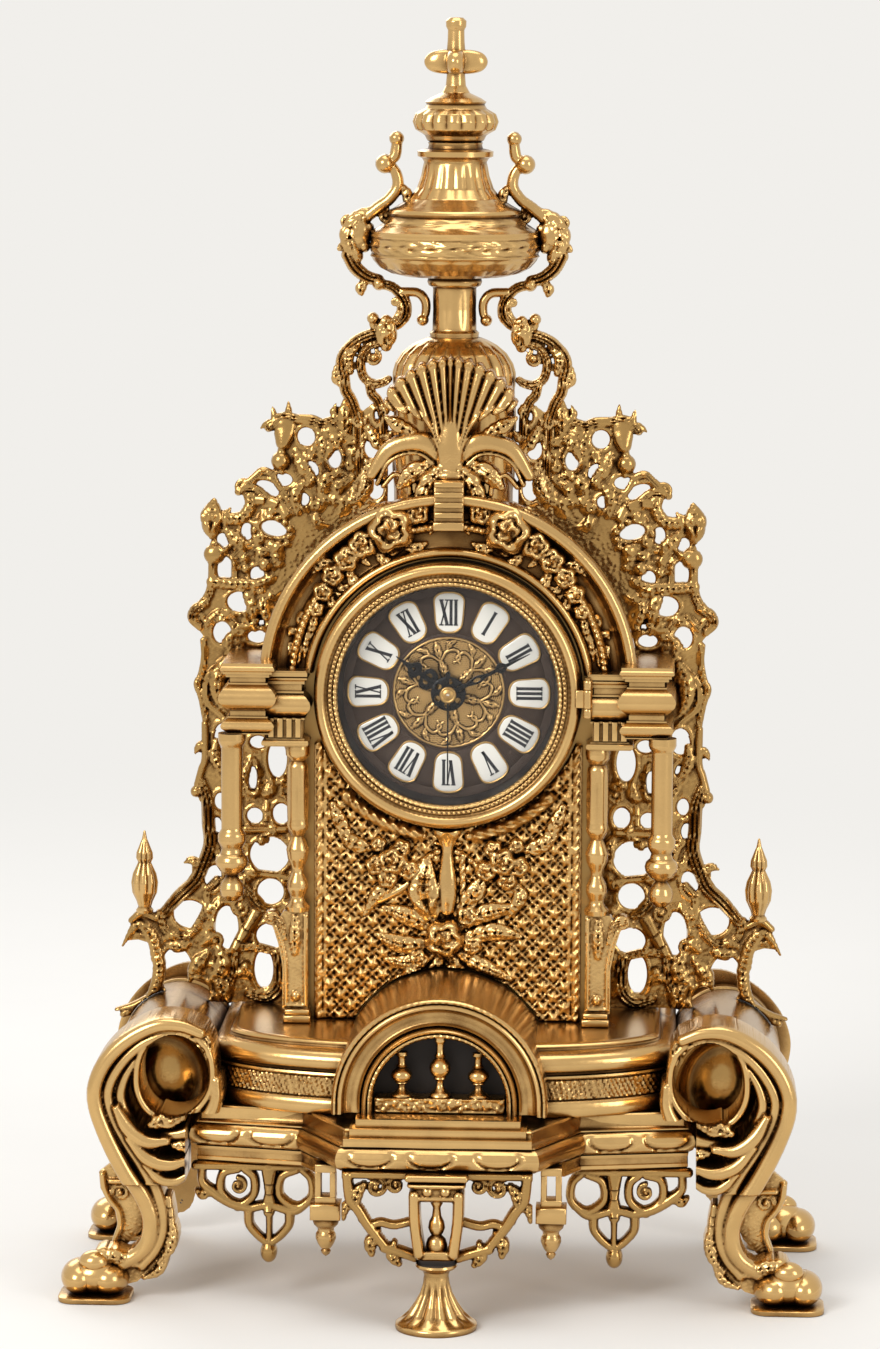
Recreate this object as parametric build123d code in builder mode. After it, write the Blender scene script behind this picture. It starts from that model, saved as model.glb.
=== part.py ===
from build123d import *
from math import atan2, cos, degrees, pi, radians, sin, sqrt
import os

os.makedirs("parts", exist_ok=True)

# Cast brass mantel clock. Millimetres, +Z up, the dial faces -Y.
# The origin is on the floor, under the middle of the clock.

# Heights, from the floor up
leg_height = 60.0
plinth_height = 55.0
body_height = 122.0
shoulder_height = 33.0
arch_drop = 5.5
dial_drop = 4.9
plinth_bottom = leg_height
plinth_top = plinth_bottom + plinth_height
shoulder_bottom = plinth_top + body_height
shoulder_top = shoulder_bottom + shoulder_height
arch_z = shoulder_top - arch_drop
dial_z = arch_z - dial_drop

# Case
case_half = 66.0
head_overhang = 10.0
case_radius = case_half + head_overhang
case_front = 16.0
case_depth = 68.0
case_wall = 3.0
case_back = case_front + case_depth
case_top = arch_z + case_radius
front_hole = case_half - 22.0
back_hole = case_half - 20.0
plate_thickness = 4.0
plate_front = case_front - plate_thickness

# Arched moulding round the dial
arch_radius = case_radius + 6.0
rim_width = 5.0
cove_width = 8.0
inner_bead = 3.0

# Dial, bezel and hands
bezel_radius = case_half - 8.0
bezel_depth = 16.0
glass_opening = bezel_radius - 10.4
glass_thickness = 1.5
glass_rise = 4.0
dial_thickness = 2.0
dial_front = case_front - dial_thickness
cartouche_ring = bezel_radius - 23.8
cartouche_width = 12.0
cartouche_height = 16.0
cartouche_thickness = 1.2
medallion_radius = bezel_radius - 33.5
medallion_thickness = 1.0
hour_length = bezel_radius - 30.0
minute_length = bezel_radius - 18.0
second_length = bezel_radius - 18.0
hand_thickness = 0.7
running_gap = 0.05
body_gap = 0.3
bezel_gap = 1.0

# Plinth
plinth_half = case_half + 43.0
screw_radius = 2.0
screw_places = [(side * 0.8 * case_half, y, plinth_top) for side in (1, -1)
                for y in (case_front + 12, case_back - 14)]
platform_half = case_half - 23.0
platform_front = -74.0
bay_front = -30.0
plinth_back = 80.0
bow_half = plinth_half - 11.0
bow_depth = 38.0
bow_centre = -6.0
niche_z = plinth_bottom + 32.5
niche_outer = 46.0
niche_inner = 28.5
niche_front = -58.0
niche_depth = 16.0
niche_shell = 4.0
step_top = plinth_bottom + 28.0

# Feet
leg_front = -45.0
leg_back = -18.0
leg_width = 14.0
pad_width = 31.5
pad_depth = 27.0
pad_height = 2.5
rear_end = 90.5
centre_foot_y = -73.0
centre_foot_radius = 17.5
centre_foot_height = 28.0

# Urn on its pedestal
urn_y = 50.0
pedestal_radius = 26.5
pedestal_height = 71.0
bowl_radius = 37.0
bowl_base = case_top + pedestal_height
stem_radius = 9.5
rod_radius = 2.5
rod_gap = 0.3
urn_wall = 3.0
bowl_height = 45.5
cover_height = 39.0
cover_base = bowl_base + bowl_height
knob_base = cover_base + cover_height

# Side frets and columns
fret_y = 47.0
fret_thickness = 5.0
shoulder_out = case_half + 32.0
shoulder_split = case_half + 12.0
shoulder_in = case_half - 6.0
shoulder_step = 6.0
column_x = case_half + 27.0
column_y = -2.0
pilaster_x = case_half - 1.0
pilaster_y = 6.0


def facing(y):
    """Upright plane at depth y that faces the viewer; extrudes come forward."""
    return Plane.XZ.offset(-y)


def bar(width, points):
    """Curved bar of one width with round ends, on a smooth line through the points."""
    with BuildLine() as path:
        if len(points) > 2:
            Spline(*points)
        else:
            Line(*points)
    trace(path.line, width)
    with Locations(points[0], points[-1]):
        Circle(width / 2)


def bars(items, dx=0.0, dz=0.0):
    for width, points in items:
        bar(width, [(x + dx, z + dz) for x, z in points])


def bosses(items, dx=0.0, dz=0.0, mode=Mode.ADD):
    for x, z, rx, rz in items:
        with Locations((x + dx, z + dz)):
            Ellipse(rx, rz, mode=mode)


def turned(points, x, y):
    """Solid of revolution about an upright line; points are radius and height."""
    with BuildSketch(Plane(origin=(x, y, 0), x_dir=(1, 0, 0), z_dir=(0, -1, 0))) as half:
        with BuildLine():
            Polyline(*points, close=True)
        make_face()
    revolve(half.sketch, axis=Axis((x, y, 0), (0, 0, 1)))


def ring(points, z, start=0.0, arc=360.0):
    """Solid of revolution about a fore-and-aft line at height z; points are radius and depth."""
    turn = Plane(origin=(0, 0, z), x_dir=(cos(radians(start)), 0, sin(radians(start))),
                 z_dir=(-sin(radians(start)), 0, cos(radians(start))))
    with BuildSketch(turn) as half:
        with BuildLine():
            Polyline(*points, close=True)
        make_face()
    revolve(half.sketch, axis=Axis((0, 0, z), (0, -1, 0)), revolution_arc=arc)


def box_at(x0, x1, y0, y1, z0, z1, mode=Mode.ADD):
    with Locations(((x0 + x1) / 2, (y0 + y1) / 2, (z0 + z1) / 2)):
        Box(x1 - x0, y1 - y0, z1 - z0, mode=mode)


def disc(x, z, radius, front, back, mode=Mode.ADD):
    """Flat cylinder with its axis fore and aft."""
    with BuildSketch(facing(back)) as section:
        with Locations((x, z)):
            Circle(radius)
    extrude(section.sketch, back - front, mode=mode)


# Plinth: a bombe body with a bow front and a projecting middle, hollow from below

def plinth_plan(grow):
    """Front outline of the lower mouldings, pushed out by grow."""
    half = plinth_half + grow
    with BuildLine() as outline:
        Polyline((0, platform_front - grow), (platform_half + grow, platform_front + 1 - grow),
                 (platform_half + 19 + grow, bay_front - 9 - grow), (half, bay_front - grow),
                 (half, plinth_back), (0, plinth_back))
        mirror(about=Plane.YZ)
    make_face(outline.edges())


def bow_plan(grow):
    """Half ellipse in front of a straight-sided body."""
    with Locations((0, bow_centre)):
        Ellipse(bow_half + grow, bow_depth + grow)
    with Locations((0, (bow_centre + plinth_back) / 2)):
        Rectangle(2 * (bow_half + grow), plinth_back - bow_centre)
    with Locations((0, plinth_back + bow_depth)):
        Rectangle(4 * bow_half, 2 * bow_depth, mode=Mode.SUBTRACT)


def round_belt(plan, z, height, grow, bulge):
    """Rounded moulding laid up in thin courses between z and z + height."""
    courses = 5
    for course in range(courses):
        swell = bulge * sin(pi * (course + 0.5) / courses)
        with BuildSketch(Plane.XY.offset(z + course * height / courses)) as section:
            plan(grow + swell)
        extrude(section.sketch, height / courses)


fascia_height = 7.0
torus_height = 10.0
torus_bulge = 3.0
weather_height = 7.0
band_height = 19.0
ledge_height = 3.0
neck_height = 3.0
torus_z = plinth_bottom + fascia_height
weather_z = torus_z + torus_height
band_z = weather_z + weather_height
ledge_z = band_z + band_height
neck_z = ledge_z + ledge_height
crown_z = neck_z + neck_height
bombe_x = plinth_half + 13.0
bombe_z = plinth_bottom + 31.0
bombe_rx = 25.0
bombe_rz = 29.0
plinth_wall = 5.0

with BuildPart() as plinth:
    with BuildSketch(Plane.XY.offset(plinth_bottom)):
        plinth_plan(-3)
        with Locations((0, platform_front)):
            Rectangle(2 * platform_half + 26, 56, mode=Mode.SUBTRACT)
    extrude(amount=fascia_height)
    round_belt(plinth_plan, torus_z, torus_height, -torus_bulge, torus_bulge)
    with BuildSketch(Plane.XY.offset(weather_z)):
        plinth_plan(-6)
    extrude(amount=weather_height)
    for start, height, grow in ((band_z, band_height, 0), (ledge_z, ledge_height, 2.5),
                                (neck_z, neck_height, -4)):
        with BuildSketch(Plane.XY.offset(start)):
            bow_plan(grow)
        extrude(amount=height)
    round_belt(bow_plan, crown_z, plinth_top - crown_z, -7, 2)
    for side in (1, -1):
        with BuildSketch(facing(plinth_back)):
            with Locations((side * bombe_x, bombe_z)):
                Ellipse(bombe_rx, bombe_rz)
        extrude(amount=plinth_back - leg_back)
    # the niche is cut right down to the steps in front of it
    with BuildSketch(facing(plate_front)):
        with Locations((0, niche_z)):
            Circle(niche_outer)
        with Locations((0, (step_top + niche_z) / 2)):
            Rectangle(2 * niche_outer, niche_z - step_top)
        with Locations((0, step_top - niche_outer)):
            Rectangle(2 * niche_outer, 2 * niche_outer, mode=Mode.SUBTRACT)
    extrude(amount=plate_front - platform_front + 5, mode=Mode.SUBTRACT)
    step_rise = (step_top - weather_z) / 3
    for step in range(3):
        depth = 3 + 2.5 * step
        box_at(-platform_half + depth, platform_half - depth, platform_front + depth, plate_front,
               weather_z + step * step_rise, weather_z + (step + 1) * step_rise)
    # hollows
    box_at(-plinth_half + plinth_wall, plinth_half - plinth_wall, 0, plinth_back - plinth_wall,
           plinth_bottom - 1, weather_z - 1, mode=Mode.SUBTRACT)
    box_at(-bow_half + 2 * plinth_wall, bow_half - 2 * plinth_wall, plate_front + plinth_wall,
           plinth_back - plinth_wall, weather_z - 2, plinth_top - plinth_wall, mode=Mode.SUBTRACT)
    box_at(-platform_half + plinth_wall, platform_half - plinth_wall, platform_front + 12, plate_front,
           plinth_bottom - 1, weather_z - 1, mode=Mode.SUBTRACT)
    for side in (1, -1):
        middle = side * (niche_outer + 18)
        box_at(middle - 13, middle + 13, bow_centre - 16, plate_front + 2 * plinth_wall,
               plinth_bottom - 1, crown_z - 2, mode=Mode.SUBTRACT)
        with BuildSketch(facing(plinth_back - plinth_wall)):
            with Locations((side * bombe_x, bombe_z)):
                Ellipse(bombe_rx - plinth_wall, bombe_rz - plinth_wall)
        extrude(amount=plinth_back - 2 * plinth_wall - leg_back, mode=Mode.SUBTRACT)
    with Locations(screw_places):
        Cylinder(screw_radius + running_gap, 6 * plinth_wall, mode=Mode.SUBTRACT)
plinth.part.label = "base_plinth"
export_step(plinth.part, "parts/base_plinth.step")

# Arched niche in the middle of the plinth, with its grille and dark back plate

niche_rear = niche_front + niche_depth
with BuildPart() as niche_arch:
    moulding = [(niche_inner, niche_rear), (niche_inner, niche_front + 3), (niche_inner + 3, niche_front),
                (niche_inner + 4, niche_front + 2), (niche_inner + 5, niche_front - 1),
                (niche_inner + 9, niche_front - 2), (niche_inner + 12, niche_front + 4),
                (niche_outer - 4.5, niche_front), (niche_outer - 1, niche_front),
                (niche_outer, niche_front + 3), (niche_outer, niche_rear)]
    ring(moulding, niche_z, 0, 180)
    jamb = niche_z - step_top
    for side in (1, -1):
        middle = side * (niche_inner + niche_outer) / 2
        box_at(middle - (niche_outer - niche_inner) / 2, middle + (niche_outer - niche_inner) / 2,
               niche_front, niche_rear, step_top, niche_z)
    ring([(niche_outer - niche_shell, niche_rear), (niche_outer, niche_rear), (niche_outer, plate_front),
          (niche_outer - niche_shell, plate_front)], niche_z, 0, 180)
niche_arch.part.label = "niche_arch"
export_step(niche_arch.part, "parts/niche_arch.step")

grille_y = niche_front + 9
grille_base = 7.0
baluster_gap = 16.3
with BuildPart() as grille:
    sill = niche_inner - body_gap
    box_at(-sill, sill, grille_y - 6, grille_y + 6, step_top, step_top + grille_base)
    for column in (-1, 0, 1):
        x = column * baluster_gap
        top = niche_z + sqrt(niche_inner ** 2 - (abs(x) + 2.4) ** 2)
        foot = step_top + grille_base
        rise = top - foot
        turned([(0, foot), (4.2, foot), (2.6, foot + 0.12 * rise), (1.5, foot + 0.25 * rise),
                (3.8, foot + 0.42 * rise), (4.6, foot + 0.52 * rise), (3.6, foot + 0.64 * rise),
                (1.6, foot + 0.78 * rise), (2.4, top), (0, top)], x, grille_y)
grille.part.label = "niche_grille"
export_step(grille.part, "parts/niche_grille.step")

with BuildPart() as niche_back:
    with BuildSketch(facing(niche_rear + dial_thickness)):
        with Locations((0, niche_z)):
            Circle(niche_outer - niche_shell - body_gap)
        with Locations((0, step_top - niche_outer)):
            Rectangle(2 * niche_outer, 2 * niche_outer, mode=Mode.SUBTRACT)
    extrude(amount=dial_thickness)
niche_back.part.label = "niche_back"
export_step(niche_back.part, "parts/niche_back.step")

# Legs: a C-scroll shoulder, an S-curved shank and a paw on a flat pad

eye_x = bombe_x - 7.5
eye_z = bombe_z + 10.0
toe_radius = 6.0


def shoulder_scroll():
    bosses([(bombe_x, bombe_z + 1, bombe_rx + 4.5, bombe_rz + 2.5)])
    bosses([(eye_x, eye_z, 15.5, 18.5)], mode=Mode.SUBTRACT)
    bosses([(bombe_x - 17, bombe_z + 21, 3.5, 3.5)])
    bar(3, [(bombe_x - 17, bombe_z + 21), (bombe_x - 23, bombe_z + 24)])


def shank():
    bar(leg_width, [(plinth_half + 27, plinth_bottom + 10), (plinth_half + 19, 0.87 * leg_height),
                    (plinth_half + 14.5, 0.6 * leg_height), (plinth_half + 18.5, 0.33 * leg_height),
                    (plinth_half + 31, 0.15 * leg_height)])


def web():
    bar(9, [(plinth_half + 28, 0.83 * leg_height), (plinth_half + 28.5, 0.6 * leg_height),
            (plinth_half + 30, 0.34 * leg_height)])
    bosses([(plinth_half + 33, 0.75 * leg_height, 4.5, 4.5)])


def paw(front, back):
    pad_x = plinth_half + 40.3
    with BuildSketch(Plane.XY) as pad:
        with Locations((pad_x, (front + back) / 2)):
            RectangleRounded(pad_width, back - front, 8)
    extrude(pad.sketch, pad_height)
    with BuildSketch(facing(back - 3)) as toes:
        for step in (-1, 0, 1):
            with Locations((pad_x + 9.5 * step, pad_height + toe_radius - 1)):
                Circle(toe_radius)
        with Locations((pad_x - 3, pad_height + 2.6 * toe_radius)):
            Circle(0.75 * toe_radius)
        with Locations((pad_x, pad_height + toe_radius / 2)):
            Rectangle(19, toe_radius)
    extrude(toes.sketch, back - front - 6)


with BuildPart() as front_leg_right:
    with BuildSketch(facing(leg_back)):
        shoulder_scroll()
    extrude(amount=leg_back - leg_front)
    box_at(0, plinth_half + body_gap, bay_front - 4.5, 0, 0, 3 * leg_height, mode=Mode.SUBTRACT)
    with BuildSketch(facing(leg_back - 7)):
        shank()
    extrude(amount=leg_width)
    with BuildSketch(facing(leg_back - 2)):
        web()
    extrude(amount=plinth_wall)
    paw(leg_front - 2, leg_front - 2 + pad_depth)
front_leg_right.part.label = "front_leg_right"
export_step(front_leg_right.part, "parts/front_leg_right.step")

with BuildPart() as front_leg_left:
    mirror(front_leg_right.part, about=Plane.YZ)
front_leg_left.part.label = "front_leg_left"
export_step(front_leg_left.part, "parts/front_leg_left.step")

with BuildPart() as rear_legs:
    with BuildSketch(facing(rear_end)):
        shoulder_scroll()
        shank()
        web()
    extrude(amount=rear_end - plinth_back)
    paw(rear_end - pad_depth, rear_end)
    mirror(about=Plane.YZ)
rear_legs.part.label = "rear_legs"
export_step(rear_legs.part, "parts/rear_legs.step")

# Middle foot, the bracket over it and the openwork that hangs under the plinth

with BuildPart() as centre_foot:
    r = centre_foot_radius
    h = centre_foot_height
    turned([(0, 0), (r, 0), (r, 0.07 * h), (0.88 * r, 0.13 * h), (0.54 * r, 0.4 * h), (0.33 * r, 0.65 * h),
            (0.3 * r, 0.8 * h), (0.34 * r, 0.9 * h), (0.51 * r, 0.94 * h), (0.51 * r, h), (0, h)],
           0, centre_foot_y)
centre_foot.part.label = "centre_foot"
export_step(centre_foot.part, "parts/centre_foot.step")

bracket_height = torus_z - centre_foot_height
bracket_depth = 12.0
bracket_y = centre_foot_y + bracket_depth / 2
with BuildPart() as foot_bracket:
    with BuildSketch(facing(bracket_y)):
        with Locations((0, torus_z - 1.5)):
            Rectangle(25, 3)
        with Locations((0, torus_z - 6)):
            Rectangle(22, 9)
        bars([(3.2, [(side * 9.2, torus_z - 9), (side * 7, centre_foot_height + 3)]) for side in (1, -1)])
        with Locations((0, centre_foot_height + 2)):
            Rectangle(17, 4)
        bosses([(0, centre_foot_height + 8, 3.6, 5), (0, centre_foot_height + 17, 2.8, 6.5),
                (0, centre_foot_height + 24, 1.6, 6)])
    extrude(amount=bracket_depth)
foot_bracket.part.label = "foot_bracket"
export_step(foot_bracket.part, "parts/foot_bracket.step")

with BuildPart() as centre_aprons:
    with BuildSketch(facing(bracket_y - 1)):
        bars([(3, [(11.7, -1.5), (39, -1.5)]), (4, [(38, -3), (37, -12), (33, -17), (29, -24), (22, -33)]),
              (2.6, [(10.5, -21), (18, -23), (24, -22), (29, -24)]),
              (4, [(22, -33), (15, -35), (9.5, -37)]), (3, [(22, -33), (16, -40), (10, -37)])],
             dz=torus_z)
        bosses([(26, -5.5, 4, 4.5)], dz=torus_z)
        bosses([(26, -5.5, 1.6, 2)], dz=torus_z, mode=Mode.SUBTRACT)
    extrude(amount=fret_thickness)
    mirror(about=Plane.YZ)
    add(foot_bracket.part, mode=Mode.SUBTRACT)
centre_aprons.part.label = "centre_aprons"
export_step(centre_aprons.part, "parts/centre_aprons.step")

pendant_x = platform_half + 5
pendant_y = platform_front + 17
with BuildPart() as pendants:
    box_at(pendant_x - 4.5, pendant_x + 4.5, pendant_y - 4.5, pendant_y + 4.5, torus_z - 17, torus_z)
    with BuildSketch(facing(pendant_y + 5)):
        with Locations((pendant_x, torus_z - 9)):
            Rectangle(4, 9)
    extrude(amount=10, mode=Mode.SUBTRACT)
    box_at(pendant_x - 6.5, pendant_x + 6.5, pendant_y - 6.5, pendant_y + 6.5, torus_z - 24, torus_z - 17)
    drop = torus_z - 24
    turned([(0, drop), (5.5, drop), (5.5, drop - 3), (3.6, drop - 5), (4.4, drop - 9), (2.5, drop - 13),
            (1.4, drop - 15), (0, drop - 17)], pendant_x, pendant_y)
    mirror(about=Plane.YZ)
pendants.part.label = "pendants"
export_step(pendants.part, "parts/pendants.step")

apron_x = plinth_half - 34.5
with BuildPart() as side_aprons:
    with BuildSketch(facing(bay_front + 4)):
        with Locations((apron_x + 7.5, plinth_bottom - 1.5)):
            Rectangle(50, 3)
        with Locations((apron_x, plinth_bottom - 10)):
            Rectangle(8, 18)
        with Locations((apron_x, plinth_bottom - 28)):
            Rectangle(2.5, 20)
        bars([(4, [(30, -4), (29.5, -9), (25.5, -13), (20.5, -16.5), (15.5, -19), (8.5, -20.5)]),
              (3, [(8.5, -21), (0, -19.5), (-10.5, -21.5), (-17.5, -16)]),
              (3, [(9.5, -21), (9, -27), (5.5, -32), (1.5, -35.5)]),
              (3, [(-9.5, -22), (-9, -27), (-5.5, -32), (-1.5, -35.5)])], dx=apron_x, dz=plinth_bottom)
        bosses([(13.5, -10, 9, 11), (-12, -10, 8.5, 11), (0.2, -40, 3.3, 5)], dx=apron_x, dz=plinth_bottom)
        bosses([(13.5, -10, 5.5, 6.6), (-12, -10, 5, 6.6)], dx=apron_x, dz=plinth_bottom, mode=Mode.SUBTRACT)
        with Locations((apron_x, plinth_bottom + 10)):
            Rectangle(80, 20, mode=Mode.SUBTRACT)
    extrude(amount=fret_thickness)
    mirror(about=Plane.YZ)
side_aprons.part.label = "side_aprons"
export_step(side_aprons.part, "parts/side_aprons.step")

# Case: an arched box with a round opening at the front and a larger one behind

rod_hole = rod_radius + rod_gap
case_step = shoulder_bottom + shoulder_step
door_radius = back_hole + 4.0
door_front = case_back + body_gap
door_thickness = 2.0
door_hinge_x = door_radius + 3.5
door_axis_y = case_back + 3.0
knuckle_radius = 2.2
knuckle_hole = 0.85
knuckle_half = 4.0
knuckle_end = 12.0
latch_x = door_radius + 4.0
latch_back = door_front + door_thickness + body_gap
latch_pin = 1.5


def case_outline(inset):
    """Narrow body below the shoulders, wider arched head above them."""
    half = case_half - inset
    head = case_radius - inset
    with Locations((0, (plinth_top + inset + arch_z) / 2)):
        Rectangle(2 * half, arch_z - plinth_top - inset)
    with Locations((0, (case_step + inset + arch_z) / 2)):
        Rectangle(2 * head, arch_z - case_step - inset)
    with Locations((0, arch_z)):
        Circle(head)
    with Locations((0, case_step + inset - case_radius)):
        Rectangle(2 * case_radius, 2 * case_radius, mode=Mode.SUBTRACT)
    with Locations((0, (plinth_top + inset + arch_z) / 2)):
        Rectangle(2 * half, arch_z - plinth_top - inset)


with BuildPart() as case_shell:
    with BuildSketch(facing(case_back)):
        case_outline(0)
    extrude(amount=case_depth)
    with BuildSketch(facing(case_back - case_wall)):
        case_outline(case_wall)
    extrude(amount=case_depth - 2 * case_wall, mode=Mode.SUBTRACT)
    with BuildSketch(facing(case_front + case_wall)):
        with Locations((0, dial_z)):
            Circle(front_hole)
    extrude(amount=case_wall, mode=Mode.SUBTRACT)
    with BuildSketch(facing(case_back)):
        with Locations((0, dial_z)):
            Circle(back_hole)
    extrude(amount=case_wall, mode=Mode.SUBTRACT)
    with Locations((0, urn_y, case_top)):
        Cylinder(rod_hole, 6 * case_wall, mode=Mode.SUBTRACT)
    knuckle_start = knuckle_half + body_gap
    for low, high in ((-knuckle_end, -knuckle_start), (knuckle_start, knuckle_end)):
        with Locations((door_hinge_x, door_axis_y, dial_z + (low + high) / 2)):
            Cylinder(knuckle_radius, high - low)
        box_at(door_hinge_x + 0.4, door_hinge_x + knuckle_radius, case_back, door_axis_y,
               dial_z + low, dial_z + high)
        with Locations((door_hinge_x, door_axis_y, dial_z + (low + high) / 2)):
            Cylinder(knuckle_hole, high - low, mode=Mode.SUBTRACT)
    disc(-latch_x, dial_z, 2 * latch_pin, case_back - case_wall, latch_back - running_gap)
    disc(-latch_x, dial_z, latch_pin, case_back - case_wall, latch_back, Mode.SUBTRACT)
    with Locations(screw_places):
        Cylinder(screw_radius, 4 * case_wall, mode=Mode.SUBTRACT)
case_shell.part.label = "case_shell"
export_step(case_shell.part, "parts/case_shell.step")

# Arched moulding: bright rim, deep cove, inner bead and a flat band for the flowers

with BuildPart() as arch_frame:
    rim_in = arch_radius - rim_width
    bead_out = rim_in - cove_width
    bead_in = bead_out - inner_bead
    ring([(bead_in - 18, case_front), (arch_radius, case_front), (arch_radius, plate_front - 5),
          (arch_radius - 1.5, plate_front - 7), (rim_in + 1.5, plate_front - 7), (rim_in, plate_front - 5),
          (rim_in - 2, plate_front + 0.5), (bead_out + 2, plate_front + 1), (bead_out, plate_front - 2),
          (bead_out - 1, plate_front - 3.5), (bead_in + 0.5, plate_front - 3.5), (bead_in, plate_front),
          (bead_in - 18, plate_front)], arch_z, 0, 180)
    with BuildSketch(facing(case_front)):
        with Locations((0, dial_z)):
            Circle(bezel_radius + bezel_gap)
        with Locations((0, shoulder_top - arch_radius)):
            Rectangle(4 * arch_radius, 2 * arch_radius)
        for side in (1, -1):
            with Locations((side * (shoulder_split + 10), shoulder_top)):
                Rectangle(20, 8)
    extrude(amount=case_front - platform_front, mode=Mode.SUBTRACT)
arch_frame.part.label = "arch_frame"
export_step(arch_frame.part, "parts/arch_frame.step")

# Front panel under the bezel, edged with rope, and the bouquet that hangs on it

panel_half = shoulder_in - 1.7
rope_radius = 1.8
rope_ring = bezel_radius + 5.0
with BuildPart() as front_panel:
    with BuildSketch(facing(case_front)):
        with Locations((0, (plinth_top + shoulder_bottom) / 2)):
            Rectangle(2 * panel_half, shoulder_bottom - plinth_top)
        with Locations((0, dial_z)):
            Circle(bezel_radius + bezel_gap, mode=Mode.SUBTRACT)
    extrude(amount=plate_thickness)
    for side in (1, -1):
        with BuildSketch(Plane.XY.offset(plinth_top)):
            with Locations((side * (panel_half - rope_radius), plate_front)):
                Circle(rope_radius)
        extrude(amount=shoulder_bottom - plinth_top)
    rope = [(rope_ring + rope_radius * cos(radians(a)), plate_front - rope_radius * sin(radians(a)))
            for a in range(0, 181, 30)]
    for start in (228, 285):
        ring(rope + [(rope_ring - rope_radius, plate_front + 1), (rope_ring + rope_radius, plate_front + 1)],
             dial_z, start, 27)
front_panel.part.label = "front_panel"
export_step(front_panel.part, "parts/front_panel.step")

capital_z = dial_z - bezel_radius - 2
bouquet_depth = 7.0
with BuildPart() as panel_bouquet:
    with BuildSketch(facing(plate_front)):
        with Locations((0, capital_z - 2)):
            Rectangle(16, 4)
        bars([(6, [(0, -3), (0, -18)]), (9, [(0, -9), (0, -17)])], dz=capital_z)
        bars([(7, [(-1, -46), (-10, -36), (-13, -24)]), (6, [(2, -44), (14, -38), (26, -28)]),
              (6, [(-4, -48), (-16, -44), (-28, -38)]), (5, [(4, -52), (12, -60), (22, -66)]),
              (4, [(22, -66), (30, -68)])], dz=capital_z)
        bosses([(-9, -26, 7, 9), (-1, -47, 9.5, 9.5), (9, -36, 6, 6), (-15, -63, 5.5, 5.5),
                (-5, -68, 4.5, 4.5), (2, -62, 5, 7), (-10, -56, 5, 5)], dz=capital_z)
    extrude(amount=bouquet_depth - 2)
    with BuildSketch(facing(plate_front)):
        bosses([(-1, -47, 7, 7), (-15, -63, 3.5, 3.5), (-5, -68, 3, 3)], dz=capital_z)
        with Locations((0, capital_z - 6)):
            Rectangle(7, 12)
    extrude(amount=bouquet_depth)
    with BuildSketch(facing(plate_front)):
        bosses([(side * 24, -16, 12, 9) for side in (1, -1)], dz=capital_z)
        bars([(6, [(side * 24, -16), (side * 38, -11), (side * 47, 2)]) for side in (1, -1)], dz=capital_z)
        bars([(4, [(side * 3, -12), (side * 14, -16)]) for side in (1, -1)], dz=capital_z)
    extrude(amount=bouquet_depth - 2)
    add(front_panel.part, mode=Mode.SUBTRACT)
    with BuildSketch(facing(plate_front)):
        with Locations((0, niche_z)):
            Circle(niche_outer)
    extrude(amount=2 * bouquet_depth, mode=Mode.SUBTRACT)
panel_bouquet.part.label = "panel_bouquet"
export_step(panel_bouquet.part, "parts/panel_bouquet.step")

# Shoulders on both sides of the dial, the pilasters under them and the hanging columns

hinge_x = bezel_radius + 2.6
hinge_y = -2.6
hinge_radius = 2.0
hinge_half = 3.9
hinge_gap = 0.3
pin_radius = 0.8
bezel_pin_half = 2 * hinge_half + hinge_gap
outer_bottom = shoulder_bottom + shoulder_step
outer_top = shoulder_top + 4.0
inner_front = -1.0
outer_front = -8.0
shoulder_back = fret_y + 5.0
with BuildPart() as shoulders:
    for low, high, proud in ((0, 1, 0), (0, 0.1, 1.5), (0.4, 0.62, 2.0), (0.9, 1, 1.5)):
        inner_low = shoulder_bottom + low * shoulder_height
        inner_high = shoulder_bottom + high * shoulder_height
        box_at(shoulder_in, shoulder_split + 1, inner_front - proud, case_front, inner_low, inner_high)
        outer_low = outer_bottom + low * (outer_top - outer_bottom)
        outer_high = outer_bottom + high * (outer_top - outer_bottom)
        box_at(case_radius, shoulder_out - 2 + proud, outer_front - proud, shoulder_back,
               outer_low, outer_high)
    mirror(about=Plane.YZ)
    with Locations((hinge_x, hinge_y, dial_z)):
        Cylinder(hinge_radius + hinge_gap, 2 * hinge_half + 2 * hinge_gap, mode=Mode.SUBTRACT)
    for side in (1, -1):
        with Locations((hinge_x, hinge_y, dial_z + side * (1.5 * hinge_half + hinge_gap))):
            Cylinder(hinge_radius, hinge_half)
        with Locations((hinge_x, hinge_y, dial_z + side * (1.5 * hinge_half + hinge_gap))):
            Cylinder(pin_radius, hinge_half, mode=Mode.SUBTRACT)
    with Locations((hinge_x, hinge_y, dial_z + bezel_pin_half + 0.7)):
        Cylinder(1.6 * pin_radius + hinge_gap, 1.4, mode=Mode.SUBTRACT)
    add(arch_frame.part, mode=Mode.SUBTRACT)
shoulders.part.label = "shoulders"
export_step(shoulders.part, "parts/shoulders.step")

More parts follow.
